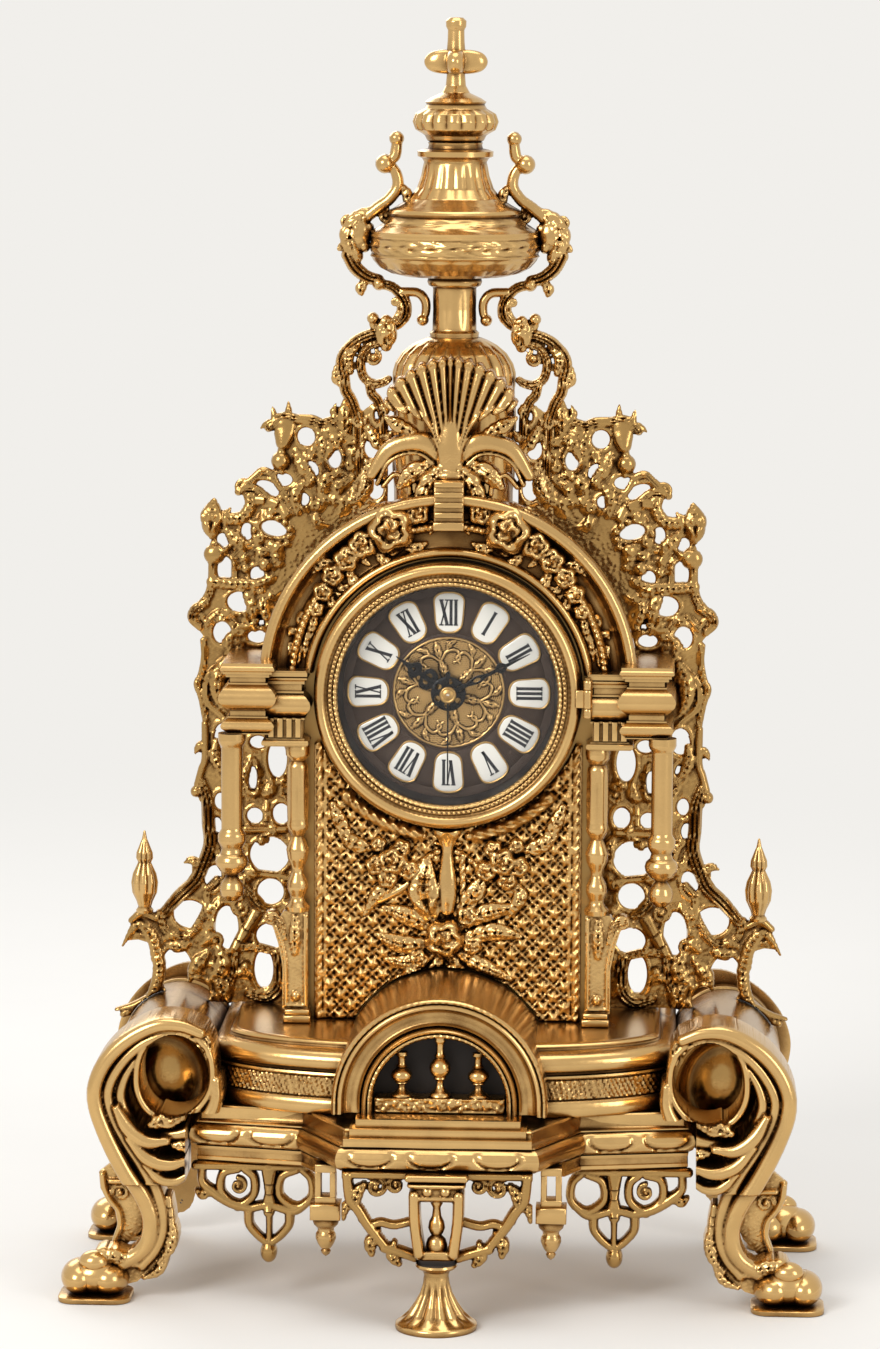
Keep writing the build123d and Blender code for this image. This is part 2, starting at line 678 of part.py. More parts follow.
with BuildPart() as pilasters:
    base = plinth_top
    box_at(pilaster_x - 6, pilaster_x + 6, pilaster_y - 6, pilaster_y + 6, base, base + 6)
    with BuildSketch(facing(pilaster_y + 4)):
        with Locations((pilaster_x + 1, base + 28)):
            Rectangle(12, 46)
        with Locations((pilaster_x + 8, base + 47)):
            RectangleRounded(12, 10, 3)
    extrude(amount=8)
    top = shoulder_bottom
    turned([(0, base + 50), (5, base + 50), (3, base + 55), (4.6, base + 60), (2.4, base + 66),
            (4.4, base + 72), (5, base + 76), (2.6, base + 82), (4.6, base + 86), (4.6, top - 9),
            (3.4, top - 7), (5.2, top - 4), (5.2, top), (0, top)], pilaster_x, pilaster_y)
    mirror(about=Plane.YZ)
pilasters.part.label = "pilasters"
export_step(pilasters.part, "parts/pilasters.step")

column_length = 74.0
with BuildPart() as columns:
    top = outer_bottom
    low = top - column_length
    turned([(0, low), (3.6, low + 1.5), (5.2, low + 5.5), (3.6, low + 9.5), (2.6, low + 11), (5, low + 13),
            (7, low + 17), (7, low + 19), (5, low + 21), (4.4, low + 24), (6, low + 26), (6, low + 30),
            (4.4, low + 32), (4.4, top - 6), (6, top - 4), (6, top), (0, top)], column_x, column_y)
    mirror(about=Plane.YZ)
columns.part.label = "columns"
export_step(columns.part, "parts/columns.step")

# Pierced side wings behind the columns, in two lengths that meet under the shoulders

wing_side = [(43, 0), (43, -14), (46, -26), (47, -31), (43, -36), (44, -50), (46, -56), (51, -60), (50, -64),
             (57, -73), (63, -80), (66, -82), (74.5, -82), (78.6, -88.7), (80, -97), (77.5, -97.7),
             (72.3, -95.4), (68, -97.7), (65.3, -103.7), (67, -113), (71, -121), (65, -132)]
wing_holes = [(35, -3, 3.5, 5), (19.5, -5, 3.2, 2.4), (11, -12.5, 3.6, 7), (36.3, -31.7, 2.2, 3.2),
              (38, -42.7, 2, 3.2), (39, -66, 2.6, 4.5), (49, -83, 5, 6.5), (33.5, -88.5, 4.3, 8),
              (13.7, -92, 5.7, 5), (14, -72, 5, 5), (14.5, -55.5, 7.4, 7), (21, -38, 3, 3),
              (9.3, -37, 3.2, 4), (17, -107, 3.6, 7.5), (46.5, -118, 4.3, 5), (56, -109, 6, 9)]
with BuildPart() as lower_wings:
    with BuildSketch(facing(fret_y)):
        with BuildLine():
            Polyline((case_half, shoulder_bottom - 132), (case_half, shoulder_bottom),
                     *[(case_half + x, shoulder_bottom + z) for x, z in wing_side], close=True)
        make_face()
        bosses(wing_holes, case_half, shoulder_bottom, Mode.SUBTRACT)
        bosses([(bombe_x, bombe_z, bombe_rx, bombe_rz)], mode=Mode.SUBTRACT)
        with Locations((case_half, plinth_top - 20)):
            Rectangle(80, 40, mode=Mode.SUBTRACT)
    extrude(amount=fret_thickness)
    mirror(about=Plane.YZ)
lower_wings.part.label = "lower_wings"
export_step(lower_wings.part, "parts/lower_wings.step")

crest_split = case_half - 22.0
fret_drawn = 103.5
fret_scale = (case_top - shoulder_bottom) / fret_drawn
fret_side = [(43.2, 0), (43.5, 13.3), (48, 20.7), (43, 28.7), (43.8, 36.7), (45, 42.4), (48, 46), (50.3, 50),
             (47.5, 54), (42.4, 56.7), (41, 61), (42, 66), (42, 72), (44, 78.3), (40, 84), (45, 91),
             (45, 96), (40, 101.5), (35, 97), (29, 97.5), (26.3, 101), (28.5, 107), (26.5, 110.5),
             (22, 113.5), (18, 117.3), (14, 116.5), (14, 121), (12.5, 124), (11, 129), (13.5, 134),
             (17.5, 134.7), (15.5, 137.5), (13, 142.5), (9.5, 141), (6.4, 144.8), (4.5, 140.5),
             (-4, 140.4), (-8.5, 138.4), (-13, 140.4), (-15.5, 141), (-18.3, 147.6), (-22, 141)]
fret_holes = [(-1.5, 130.5, 3.5, 3.5), (8.5, 111.5, 3.5, 2.5), (15.5, 107.5, 4.2, 2.8), (12.4, 90, 6, 4.2),
              (35, 84.7, 2.6, 2.6), (34.2, 72, 3, 5), (20, 69.5, 2.7, 3), (28, 57.3, 4.5, 4),
              (36, 43.5, 4.2, 5), (19, 52, 5, 5), (20, 42, 4, 2.6), (-4, 116, 3, 3.5), (-14, 121, 3, 4),
              (0, 103, 3, 3)]
with BuildPart() as upper_wings:
    with BuildSketch(facing(fret_y)):
        with BuildLine():
            Polyline((case_half, shoulder_bottom),
                     *[(case_half + x, shoulder_bottom + fret_scale * z) for x, z in fret_side],
                     (crest_split, case_top + 30), (crest_split, arch_z), close=True)
        make_face()
        bosses([(x, fret_scale * z, rx, rz) for x, z, rx, rz in fret_holes], case_half, shoulder_bottom,
               Mode.SUBTRACT)
        with Locations((0, arch_z)):
            Circle(case_radius, mode=Mode.SUBTRACT)
        with Locations((case_radius, (shoulder_bottom + outer_top) / 2)):
            Rectangle(2 * (shoulder_out - case_radius), outer_top - shoulder_bottom, mode=Mode.SUBTRACT)
    extrude(amount=fret_thickness)
    mirror(about=Plane.YZ)
upper_wings.part.label = "upper_wings"
export_step(upper_wings.part, "parts/upper_wings.step")

spire_x = case_half + 70.0
spire_base = shoulder_bottom - 82.0
with BuildPart() as spires:
    turned([(0, spire_base), (3.4, spire_base), (2.6, spire_base + 2.5), (3.6, spire_base + 7),
            (5.5, spire_base + 13), (5, spire_base + 17), (3.4, spire_base + 21), (2.4, spire_base + 23),
            (3.2, spire_base + 26), (2.6, spire_base + 29), (1.1, spire_base + 33), (0.5, spire_base + 37),
            (0, spire_base + 37)], spire_x, fret_y - fret_thickness / 2)
    mirror(about=Plane.YZ)
spires.part.label = "spires"
export_step(spires.part, "parts/spires.step")

# Flower swags on the arch, the shell above it and the scrolls beside the urn

swag_ring = arch_radius - 12.0
swag_blooms = [(70, 9.5), (61, 6), (53.5, 6), (46.5, 5), (39, 4.5), (32.5, 3.5), (77.5, 6)]
with BuildPart() as garlands:
    swag = [((swag_ring + (4 if angle > 77 else 0)) * cos(radians(angle)),
             (swag_ring + (4 if angle > 77 else 0)) * sin(radians(angle)), size, size)
            for angle, size in swag_blooms]
    with BuildSketch(facing(plate_front)):
        bosses(swag, dz=arch_z)
        bars([(4, [(x, z) for x, z, _, _ in (swag[0], swag[2], swag[4], swag[5])])], dz=arch_z)
    extrude(amount=10)
    with BuildSketch(facing(plate_front)):
        bosses([(x, z, 0.6 * rx, 0.6 * rz) for x, z, rx, rz in swag], dz=arch_z)
    extrude(amount=14)
    mirror(about=Plane.YZ)
    add(arch_frame.part, mode=Mode.SUBTRACT)
garlands.part.label = "garlands"
export_step(garlands.part, "parts/garlands.step")

shell_front = 14.0
shell_back = 22.0
fan = [(5, 19.5), (6, 27.5), (10.5, 35.5), (17, 40), (25, 41), (29, 45.5), (26, 52), (19.5, 58),
       (11, 63), (0, 65.5)]
with BuildPart() as crest_shell:
    with BuildSketch(facing(shell_back)):
        with BuildLine() as edge:
            Polyline((0, case_top + 18), *[(x, case_top + z) for x, z in fan])
            mirror(about=Plane.YZ)
        make_face()
    extrude(amount=shell_back - shell_front)
    with BuildSketch(facing(case_front + plate_thickness)):
        with Locations((0, case_top + 3)):
            Rectangle(62, 44)
        bosses([(side * 31, 26, 9, 11) for side in (1, -1)], dz=case_top, mode=Mode.SUBTRACT)
        bars([(6, [(side * 6.3, 26.3), (side * 16, 26.3), (side * 25.3, 24.5), (side * 30.8, 18.9),
                   (side * 33.3, 13.9)]) for side in (1, -1)], dz=case_top)
        with Locations((0, arch_z)):
            Circle(case_radius, mode=Mode.SUBTRACT)
    extrude(amount=plate_thickness)
    for half, low, high, front in ((6, -10, 9, 3), (4, -8, 12, 0.5), (5, 9, 22, 12)):
        box_at(-half, half, front, case_front, case_top + low, case_top + high)
    add(arch_frame.part, mode=Mode.SUBTRACT)
crest_shell.part.label = "crest_shell"
export_step(crest_shell.part, "parts/crest_shell.step")

with BuildPart() as crest_scrolls:
    with BuildSketch(facing(fret_y)):
        with Locations((crest_split - 8, case_top + 8)):
            Rectangle(15, 48)
        with Locations((crest_split - 14.4, case_top + 72.8)):
            Rectangle(8, 8, rotation=45)
        bosses([(-9, 78.9, 2.5, 2.5), (-9.2, 62.2, 1.7, 1.7)], dx=crest_split, dz=case_top)
        bars([(3.5, [(-19.3, 87), (-20.5, 83.3), (-18.7, 78.9), (-14.4, 75)]),
              (4.5, [(-14, 72.5), (-9, 72.5), (-2, 69.7), (3.4, 64.7), (5.3, 59.7), (4, 53.5), (3.4, 47.5),
                     (0.4, 42.5), (-3, 32)]),
              (4, [(-13.2, 69), (-6.4, 66.5), (-3.3, 60.5), (-4.6, 53.5), (-9, 50.5), (-13.2, 51.1),
                   (-15, 52.3)]),
              (4, [(-7, 51), (-8.2, 46.1), (-10.7, 43.5), (-13, 38), (-13.5, 30)]),
              (2, [(-9.2, 62.2), (-6.4, 66.5)]), (2.5, [(-9, 78.9), (-14, 74)])], dx=crest_split, dz=case_top)
        bosses([(-8.5, 22, 3, 3.8), (-10, 4, 3, 4)], dx=crest_split, dz=case_top, mode=Mode.SUBTRACT)
        with Locations((0, arch_z)):
            Circle(case_radius, mode=Mode.SUBTRACT)
    extrude(amount=fret_thickness)
    mirror(about=Plane.YZ)
    add(upper_wings.part, mode=Mode.SUBTRACT)
crest_scrolls.part.label = "crest_scrolls"
export_step(crest_scrolls.part, "parts/crest_scrolls.step")

# Urn: hollow pedestal, bowl, cover and knob, all held down by one rod through the case roof

with BuildPart() as urn_pedestal:
    r = pedestal_radius
    turned([(r - 4, case_top - 15), (r, case_top - 15), (r, case_top + 51.5), (r - 1, case_top + 59.5),
            (r - 5.5, case_top + 65.5), (r - 11.5, case_top + 69.5), (r - 16, pedestal_height + case_top),
            (rod_hole, pedestal_height + case_top), (rod_hole, case_top + 64), (r - 10, case_top + 60),
            (r - 4, case_top + 52)], 0, urn_y)
    with BuildSketch(facing(case_back)):
        with Locations((0, arch_z)):
            Circle(case_radius)
    extrude(amount=case_depth, mode=Mode.SUBTRACT)
urn_pedestal.part.label = "urn_pedestal"
export_step(urn_pedestal.part, "parts/urn_pedestal.step")

with BuildPart() as urn_bowl:
    foot = bowl_base
    rim = bowl_radius - urn_wall
    turned([(rod_hole, foot), (stem_radius + 1, foot), (stem_radius + 1, foot + 2.5), (stem_radius, foot + 3),
            (stem_radius - 0.3, foot + 12), (stem_radius, foot + 21.5), (stem_radius + 2.2, foot + 22.5),
            (stem_radius + 2.2, foot + 25.5), (20, foot + 26), (27, foot + 27), (33, foot + 30.5),
            (36.5, foot + 34.5), (bowl_radius, foot + 35), (bowl_radius, foot + 45),
            (bowl_radius - 0.5, cover_base), (rim, cover_base), (rim, foot + 35.5), (rim - 5, foot + 32),
            (rod_hole, foot + 30)], 0, urn_y)
urn_bowl.part.label = "urn_bowl"
export_step(urn_bowl.part, "parts/urn_bowl.step")

with BuildPart() as urn_cover:
    lid = cover_base
    turned([(bowl_radius - 0.2, lid), (31, lid + 3), (29, lid + 6), (28.6, lid + 7), (28.6, lid + 9.5),
            (24, lid + 12), (19, lid + 15), (15.5, lid + 20), (14, lid + 25), (13.5, lid + 31),
            (16.4, lid + 33), (16.4, lid + 35.5), (11.4, lid + 36.5), (11.4, knob_base),
            (rod_hole, knob_base), (rod_hole, lid + 34), (10, lid + 31), (11, lid + 24), (16, lid + 13),
            (25, lid + 6), (rim, lid)], 0, urn_y)
urn_cover.part.label = "urn_cover"
export_step(urn_cover.part, "parts/urn_cover.step")

rod_grip = 9.0
with BuildPart() as finial:
    base = knob_base
    turned([(rod_radius, base), (11.4, base), (13, base + 1), (17, base + 5), (18, base + 9), (16, base + 13),
            (10, base + 16.5), (5, base + 20), (4, base + 24), (4, base + 30), (3.7, base + 39.5),
            (3.7, base + 49), (4.4, base + 50), (4.4, base + 52.5), (3, base + 54), (0, base + 54),
            (0, base + rod_grip), (rod_radius, base + rod_grip)], 0, urn_y)
    with BuildSketch(Plane.XY.offset(base + 30)):
        with Locations((0, urn_y)):
            Circle(6)
            with PolarLocations(8, 4):
                Circle(4.8)
    extrude(amount=9.5)
finial.part.label = "finial"
export_step(finial.part, "parts/finial.step")

with BuildPart() as urn_handles:
    with BuildSketch(facing(urn_y + fret_thickness / 2)):
        bars([(4, [(25.3, 83.5), (26.5, 78.5), (29.5, 76.5)]),
              (3.5, [(29.5, 76), (27, 72.5), (24.8, 69.5), (25.5, 64.5), (29, 60), (33.5, 56.5), (37, 53.5)]),
              (6, [(37, 53.5), (41, 52), (46, 48.5), (47, 41.5), (44, 36.5)]),
              (5, [(36, 41), (46, 41)]),
              (5, [(47, 35.5), (43, 29.5), (38, 25.5), (34, 24.5)]),
              (3.5, [(33, 23), (30, 22.5), (24, 19.5), (21.5, 15.5), (21, 10.5), (23.5, 6.5), (27, 4)]),
              (3, [(22.5, 19.5), (16, 19), (12.5, 15.5), (12.5, 10.5), (14, 8)])], dz=bowl_base)
        bosses([(30.5, 75, 4, 4), (41, 52.5, 4, 4), (46, 48.5, 5, 5), (47, 41.5, 5, 5), (43, 36.5, 5, 5),
                (33, 23, 2.6, 2.6), (13.8, 7.3, 2, 2)], dz=bowl_base)
    extrude(amount=fret_thickness)
    mirror(about=Plane.YZ)
    with Locations((0, urn_y, cover_base - bowl_height / 8)):
        Cylinder(bowl_radius, bowl_height / 2, mode=Mode.SUBTRACT)
urn_handles.part.label = "urn_handles"
export_step(urn_handles.part, "parts/urn_handles.step")

nut_radius = 5.2
nut_height = 4.0
with BuildPart() as tie_rod:
    nut_top = arch_z + sqrt((case_radius - case_wall) ** 2 - nut_radius ** 2)
    rod_bottom = nut_top - 8
    rod_top = knob_base + rod_grip
    with Locations((0, urn_y, (rod_bottom + rod_top) / 2)):
        Cylinder(rod_radius, rod_top - rod_bottom)
    with BuildSketch(Plane.XY.offset(nut_top - nut_height)):
        with Locations((0, urn_y)):
            RegularPolygon(nut_radius, 6)
    extrude(amount=nut_height)
tie_rod.part.label = "tie_rod"
export_step(tie_rod.part, "parts/tie_rod.step")

# Dial: a plain plate with a medallion and twelve numeral cartouches

hub_hole = 4.2
with BuildPart() as dial_plate:
    disc(0, dial_z, bezel_radius + bezel_gap / 2, dial_front, case_front)
    disc(0, dial_z, hub_hole, dial_front, case_front, Mode.SUBTRACT)
dial_plate.part.label = "dial_plate"
export_step(dial_plate.part, "parts/dial_plate.step")

medallion_front = dial_front - medallion_thickness
with BuildPart() as dial_medallion:
    disc(0, dial_z, medallion_radius, medallion_front, dial_front)
    disc(0, dial_z, hub_hole, medallion_front, dial_front, Mode.SUBTRACT)
dial_medallion.part.label = "dial_medallion"
export_step(dial_medallion.part, "parts/dial_medallion.step")

with BuildPart() as numeral_cartouches:
    with BuildSketch(facing(dial_front)):
        with Locations((0, dial_z)):
            with PolarLocations(cartouche_ring, 12, start_angle=90):
                RectangleRounded(cartouche_height, cartouche_width - 1.5, 4.5)
                Ellipse(cartouche_height / 2 - 1, cartouche_width / 2)
    extrude(amount=cartouche_thickness)
numeral_cartouches.part.label = "numeral_cartouches"
export_step(numeral_cartouches.part, "parts/numeral_cartouches.step")

# Bezel: a hinged ring that carries the domed glass, held from behind by a sight ring

glass_radius = glass_opening + 1.0
glass_back = 3.0
glass_rim = glass_back - glass_thickness
bezel_back = bezel_depth - 2.3
bezel_face = [(8, -0.2), (7.7, -1.4), (6.8, -1.4), (6.4, 0), (5, -0.6), (3.4, -1.8), (2, -1.6), (0.6, -0.2)]
with BuildPart() as bezel_ring:
    ring([(glass_radius + 0.4, bezel_back), (glass_radius + 0.4, glass_back), (glass_radius, glass_back),
          (glass_radius, glass_rim), (glass_opening, glass_rim), (glass_opening, 0.8),
          *[(bezel_radius - inset, y) for inset, y in bezel_face],
          (bezel_radius, 2.5), (bezel_radius, bezel_back)], dial_z)
    box_at(bezel_radius - 3, hinge_x, hinge_y - 0.8, hinge_y + 1.6, dial_z - hinge_half, dial_z + hinge_half)
    with Locations((hinge_x, hinge_y, dial_z)):
        Cylinder(hinge_radius, 2 * hinge_half)
    with Locations((hinge_x, hinge_y, dial_z)):
        Cylinder(pin_radius + running_gap, 2 * hinge_half, mode=Mode.SUBTRACT)
bezel_ring.part.label = "bezel_ring"
export_step(bezel_ring.part, "parts/bezel_ring.step")

with BuildPart() as sight_ring:
    ring([(glass_opening, glass_back), (glass_radius + 0.4, glass_back), (glass_radius + 0.4, bezel_back),
          (glass_opening - 1.6, bezel_back), (glass_opening - 1.6, bezel_back - 1)], dial_z)
sight_ring.part.label = "sight_ring"
export_step(sight_ring.part, "parts/sight_ring.step")

with BuildPart() as bezel_glass:
    steps = 8
    dome = [(glass_opening * k / steps, -glass_rise * (1 - (k / steps) ** 2)) for k in range(steps + 1)]
    outer = [(r, glass_rim + rise - 0.2) for r, rise in dome]
    inner = [(r, glass_back + rise) for r, rise in reversed(dome)]
    ring(outer + [(glass_opening, glass_rim), (glass_radius, glass_rim), (glass_radius, glass_back)] + inner,
         dial_z)
bezel_glass.part.label = "bezel_glass"
export_step(bezel_glass.part, "parts/bezel_glass.step")

door_pin_half = knuckle_end
with BuildPart() as hinge_pins:
    with Locations((hinge_x, hinge_y, dial_z)):
        Cylinder(pin_radius, 2 * bezel_pin_half)
    with Locations((hinge_x, hinge_y, dial_z + bezel_pin_half + 0.5)):
        Cylinder(1.6 * pin_radius, 1)
    with Locations((door_hinge_x, door_axis_y, dial_z)):
        Cylinder(knuckle_hole, 2 * door_pin_half)
    with Locations((door_hinge_x, door_axis_y, dial_z + door_pin_half + 0.5)):
        Cylinder(1.6 * knuckle_hole, 1)
hinge_pins.part.label = "hinge_pins"
export_step(hinge_pins.part, "parts/hinge_pins.step")

# Hands, shown at a quarter past ten with the second hand straight down

minute_angle = 63.0
hour_angle = 300.0 + minute_angle / 12
second_angle = 180.0
cannon_radius = 1.7
pipe_radius = 2.4
arbor_radius = 0.7
hour_hand_front = dial_front - 4.5
minute_hand_front = hour_hand_front - 2.0
second_hand_front = minute_hand_front - 1.9


def hand_frame(angle):
    """Place on the dial axis turned clockwise by an angle, so that +Y runs along the hand."""
    return Location((0, dial_z, 0), (0, 0, -angle))


with BuildPart() as hour_hand:
    with BuildSketch(facing(hour_hand_front + hand_thickness)):
        with Locations(hand_frame(hour_angle)):
            Circle(7.8)
        with Locations(hand_frame(hour_angle)):
            with PolarLocations(5.4, 6, start_angle=30):
                Circle(1.3, mode=Mode.SUBTRACT)
        with Locations(hand_frame(hour_angle)):
            Polygon((-1.6, 7), (1.6, 7), (1, 17), (-1, 17), align=None)
            Polygon((-2.6, 17), (0, 14), (2.6, 17), (1.6, 20), (0, hour_length), (-1.6, 20), align=None)
        with Locations(hand_frame(hour_angle) * Location((0, 11, 0))):
            Ellipse(3.6, 2.4)
        with Locations(hand_frame(hour_angle)):
            Circle(pipe_radius, mode=Mode.SUBTRACT)
    extrude(amount=hand_thickness)
hour_hand.part.label = "hour_hand"
export_step(hour_hand.part, "parts/hour_hand.step")

with BuildPart() as minute_hand:
    with BuildSketch(facing(minute_hand_front + hand_thickness)):
        with Locations(hand_frame(minute_angle)):
            Circle(3.4)
            Polygon((-1.1, 3), (1.1, 3), (0.8, 24), (1.8, 26), (0.6, 30), (0, minute_length),
                    (-0.6, 30), (-1.8, 26), (-0.8, 24), align=None)
        with Locations(hand_frame(minute_angle) * Location((0, 14, 0))):
            Ellipse(2, 4)
        with Locations(hand_frame(minute_angle)):
            Circle(cannon_radius, mode=Mode.SUBTRACT)
    extrude(amount=hand_thickness)
minute_hand.part.label = "minute_hand"
export_step(minute_hand.part, "parts/minute_hand.step")

with BuildPart() as second_hand:
    with BuildSketch(facing(second_hand_front + hand_thickness)):
        with Locations(hand_frame(second_angle)):
            Polygon((-0.7, -10), (0.7, -10), (0.5, 10), (0.25, second_length), (-0.25, second_length),
                    (-0.5, 10), align=None)
            Circle(2.5)
    extrude(amount=hand_thickness)
    disc(0, dial_z, 2.5, second_hand_front - 1, second_hand_front)
    disc(0, dial_z, arbor_radius, second_hand_front - 1, second_hand_front + hand_thickness, Mode.SUBTRACT)
second_hand.part.label = "second_hand"
export_step(second_hand.part, "parts/second_hand.step")

# Battery movement behind the dial: case, wheels on their arbors, motor and circuit

case_side = 56.0
case_skin = 1.4
works_front = case_front + 2.4
works_back = case_front + 17.2
cover_back = works_back + 1.6
bushing_radius = 4.0
bushing_front = dial_front - 3.1
partition_top = -11.1
partition_skin = 1.0
battery_radius = 7.25
battery_length = 50.5
inner_half = case_side / 2 - case_skin

# Depths of the wheels, from the front of the works back
hour_level = works_front + 0.6
motion_level = works_front + 1.8
centre_level = works_front + 3.2
third_level = works_front + 4.4
seconds_level = works_front + 5.6
step_level = works_front + 6.8
coil_level = works_front + 8.8
wheel_thickness = 0.8
pinion_thickness = 1.3
plate_gap = 0.1
post_radius = 0.6
post_hole = post_radius + running_gap
pivots = {"motion": (12.0, 0.0), "third": (0.0, 11.9), "step": (-12.0, 0.0), "rotor": (-12.0, 12.25),
          "set": (18.75, 11.7)}
set_hole = 1.5 + running_gap
step_module = 0.35
seconds_module = 0.4
motion_module = 0.5
hour_module = 0.48
centre_module = 2 * pivots["third"][1] / (8 + 64)


def works_disc(name, radius, front, back, mode=Mode.ADD):
    x, z = pivots.get(name, (0.0, 0.0))
    disc(x, dial_z + z, radius, front, back, mode)


def gear(name, teeth, module, front, thickness, phase):
    """Spur gear; phase is the direction of one tooth, in degrees."""
    x, z = pivots.get(name, (0.0, 0.0))
    pitch = 360 / teeth
    outline = []
    for tooth in range(teeth):
        for turn, radius in ((-0.28, teeth / 2 - 1.1), (-0.12, teeth / 2 + 0.75), (0.12, teeth / 2 + 0.75),
                             (0.28, teeth / 2 - 1.1)):
            angle = radians(phase + (tooth + turn) * pitch)
            outline.append((x + module * radius * cos(angle), dial_z + z + module * radius * sin(angle)))
    with BuildSketch(facing(front + thickness)) as section:
        with BuildLine():
            Polyline(*outline, close=True)
        make_face()
    extrude(section.sketch, thickness)


def meshed(phase, driver_teeth, teeth, start, end):
    """Phase of the next gear so that its teeth fall between those of the driver."""
    (x0, z0), (x1, z1) = (pivots.get(name, (0.0, 0.0)) for name in (start, end))
    line = degrees(atan2(z1 - z0, x1 - x0))
    return line + 180 - (phase - line) * driver_teeth / teeth + 180 / teeth


cannon_phase = 90.0 - minute_angle
motion_phase = meshed(cannon_phase, 12, 36, "centre", "motion")
set_phase = meshed(motion_phase, 36, 18, "motion", "set")
hour_phase = meshed(motion_phase, 10, 40, "motion", "centre")
seconds_phase = 90.0 - second_angle
third_phase = meshed(seconds_phase, 8, 60, "centre", "third")
centre_phase = meshed(third_phase, 8, 64, "third", "centre")
step_phase = meshed(seconds_phase, 50, 10, "centre", "step")
rotor_phase = meshed(step_phase, 60, 10, "step", "rotor")

with BuildPart() as movement_case:
    box_at(-case_side / 2, case_side / 2, case_front, works_back, dial_z - case_side / 2,
           dial_z + case_side / 2)
    box_at(-inner_half, inner_half, works_front, works_back, dial_z + partition_top, dial_z + inner_half,
           mode=Mode.SUBTRACT)
    box_at(-inner_half, inner_half, works_front, works_back, dial_z - inner_half,
           dial_z + partition_top - partition_skin, mode=Mode.SUBTRACT)
    works_disc("centre", bushing_radius, bushing_front, works_front)
    works_disc("centre", pipe_radius + running_gap, bushing_front, works_front, Mode.SUBTRACT)
    for name in ("motion", "third", "step", "rotor"):
        works_disc(name, post_hole, works_front - 1.2, works_front, Mode.SUBTRACT)
movement_case.part.label = "movement_case"
export_step(movement_case.part, "parts/movement_case.step")

with BuildPart() as movement_cover:
    box_at(-case_side / 2, case_side / 2, works_back, cover_back, dial_z - case_side / 2,
           dial_z + case_side / 2)
    for name in ("centre", "third", "step", "rotor", "motion"):
        works_disc(name, post_hole, works_back, works_back + 1, Mode.SUBTRACT)
    works_disc("set", set_hole, works_back, cover_back, Mode.SUBTRACT)
movement_cover.part.label = "movement_cover"
export_step(movement_cover.part, "parts/movement_cover.step")

with BuildPart() as battery:
    battery_z = dial_z - inner_half + battery_radius
    battery_y = (works_front + works_back) / 2
    with BuildSketch(Plane.YZ.offset(-battery_length / 2)):
        with Locations((battery_y, battery_z)):
            Circle(battery_radius)
    extrude(amount=battery_length - 1.2)
    with BuildSketch(Plane.YZ.offset(battery_length / 2 - 1.2)):
        with Locations((battery_y, battery_z)):
            Circle(2.7)
    extrude(amount=1.2)
battery.part.label = "battery"
export_step(battery.part, "parts/battery.step")

with BuildPart() as battery_contacts:
    for side in (1, -1):
        middle = side * (inner_half + battery_length / 2) / 2
        half = (inner_half - battery_length / 2) / 2
        box_at(middle - half, middle + half, battery_y - 4, battery_y + 4, battery_z - 5, battery_z + 5)
battery_contacts.part.label = "battery_contacts"
export_step(battery_contacts.part, "parts/battery_contacts.step")

works_top = dial_z + inner_half
with BuildPart() as circuit_board:
    board_front = coil_level + 0.3
    box_at(3, 24, board_front, board_front + 1.2, works_top - 8, works_top)
    box_at(8, 14, board_front - 1.2, board_front, works_top - 6, works_top - 2)
circuit_board.part.label = "circuit_board"
export_step(circuit_board.part, "parts/circuit_board.step")

rotor_x, rotor_z = pivots["rotor"]
rotor_radius = 3.0
with BuildPart() as stator_coil:
    box_at(rotor_x - 10, rotor_x + 10, coil_level, coil_level + 1.2, dial_z + rotor_z - 5, works_top)
    works_disc("rotor", rotor_radius + 0.5, coil_level, coil_level + 1.2, Mode.SUBTRACT)
    box_at(rotor_x - 7, rotor_x + 7, coil_level + 0.6, coil_level + 2, works_top - 7.4, works_top - 4.2,
           mode=Mode.SUBTRACT)
    with BuildSketch(Plane.YZ.offset(rotor_x - 7)):
        with Locations((coil_level + 0.6, works_top - 4)):
            Circle(3)
    extrude(amount=14)
stator_coil.part.label = "stator_coil"
export_step(stator_coil.part, "parts/stator_coil.step")

with BuildPart() as rotor:
    works_disc("rotor", rotor_radius, coil_level - 0.6, coil_level + 1.8)
    gear("rotor", 10, step_module, step_level, pinion_thickness + plate_gap, rotor_phase)
    works_disc("rotor", post_radius, works_front - 1, works_back + 0.8)
rotor.part.label = "rotor"
export_step(rotor.part, "parts/rotor.step")

with BuildPart() as step_wheel:
    gear("step", 60, step_module, step_level, wheel_thickness, step_phase)
    gear("step", 10, seconds_module, seconds_level - 0.2, pinion_thickness + plate_gap, step_phase)
    works_disc("step", post_radius, works_front - 1, works_back + 0.8)
step_wheel.part.label = "step_wheel"
export_step(step_wheel.part, "parts/step_wheel.step")

with BuildPart() as seconds_wheel:
    gear("centre", 50, seconds_module, seconds_level, wheel_thickness, seconds_phase)
    gear("centre", 8, step_module, third_level - plate_gap, pinion_thickness, seconds_phase)
    works_disc("centre", arbor_radius, second_hand_front - 0.8, seconds_level)
    works_disc("centre", post_radius, seconds_level, works_back + 0.8)
seconds_wheel.part.label = "seconds_wheel"
export_step(seconds_wheel.part, "parts/seconds_wheel.step")

with BuildPart() as third_wheel:
    gear("third", 60, step_module, third_level, wheel_thickness, third_phase)
    gear("third", 8, centre_module, centre_level - plate_gap, pinion_thickness, third_phase)
    works_disc("third", post_radius, works_front - 1, works_back + 0.8)
third_wheel.part.label = "third_wheel"
export_step(third_wheel.part, "parts/third_wheel.step")

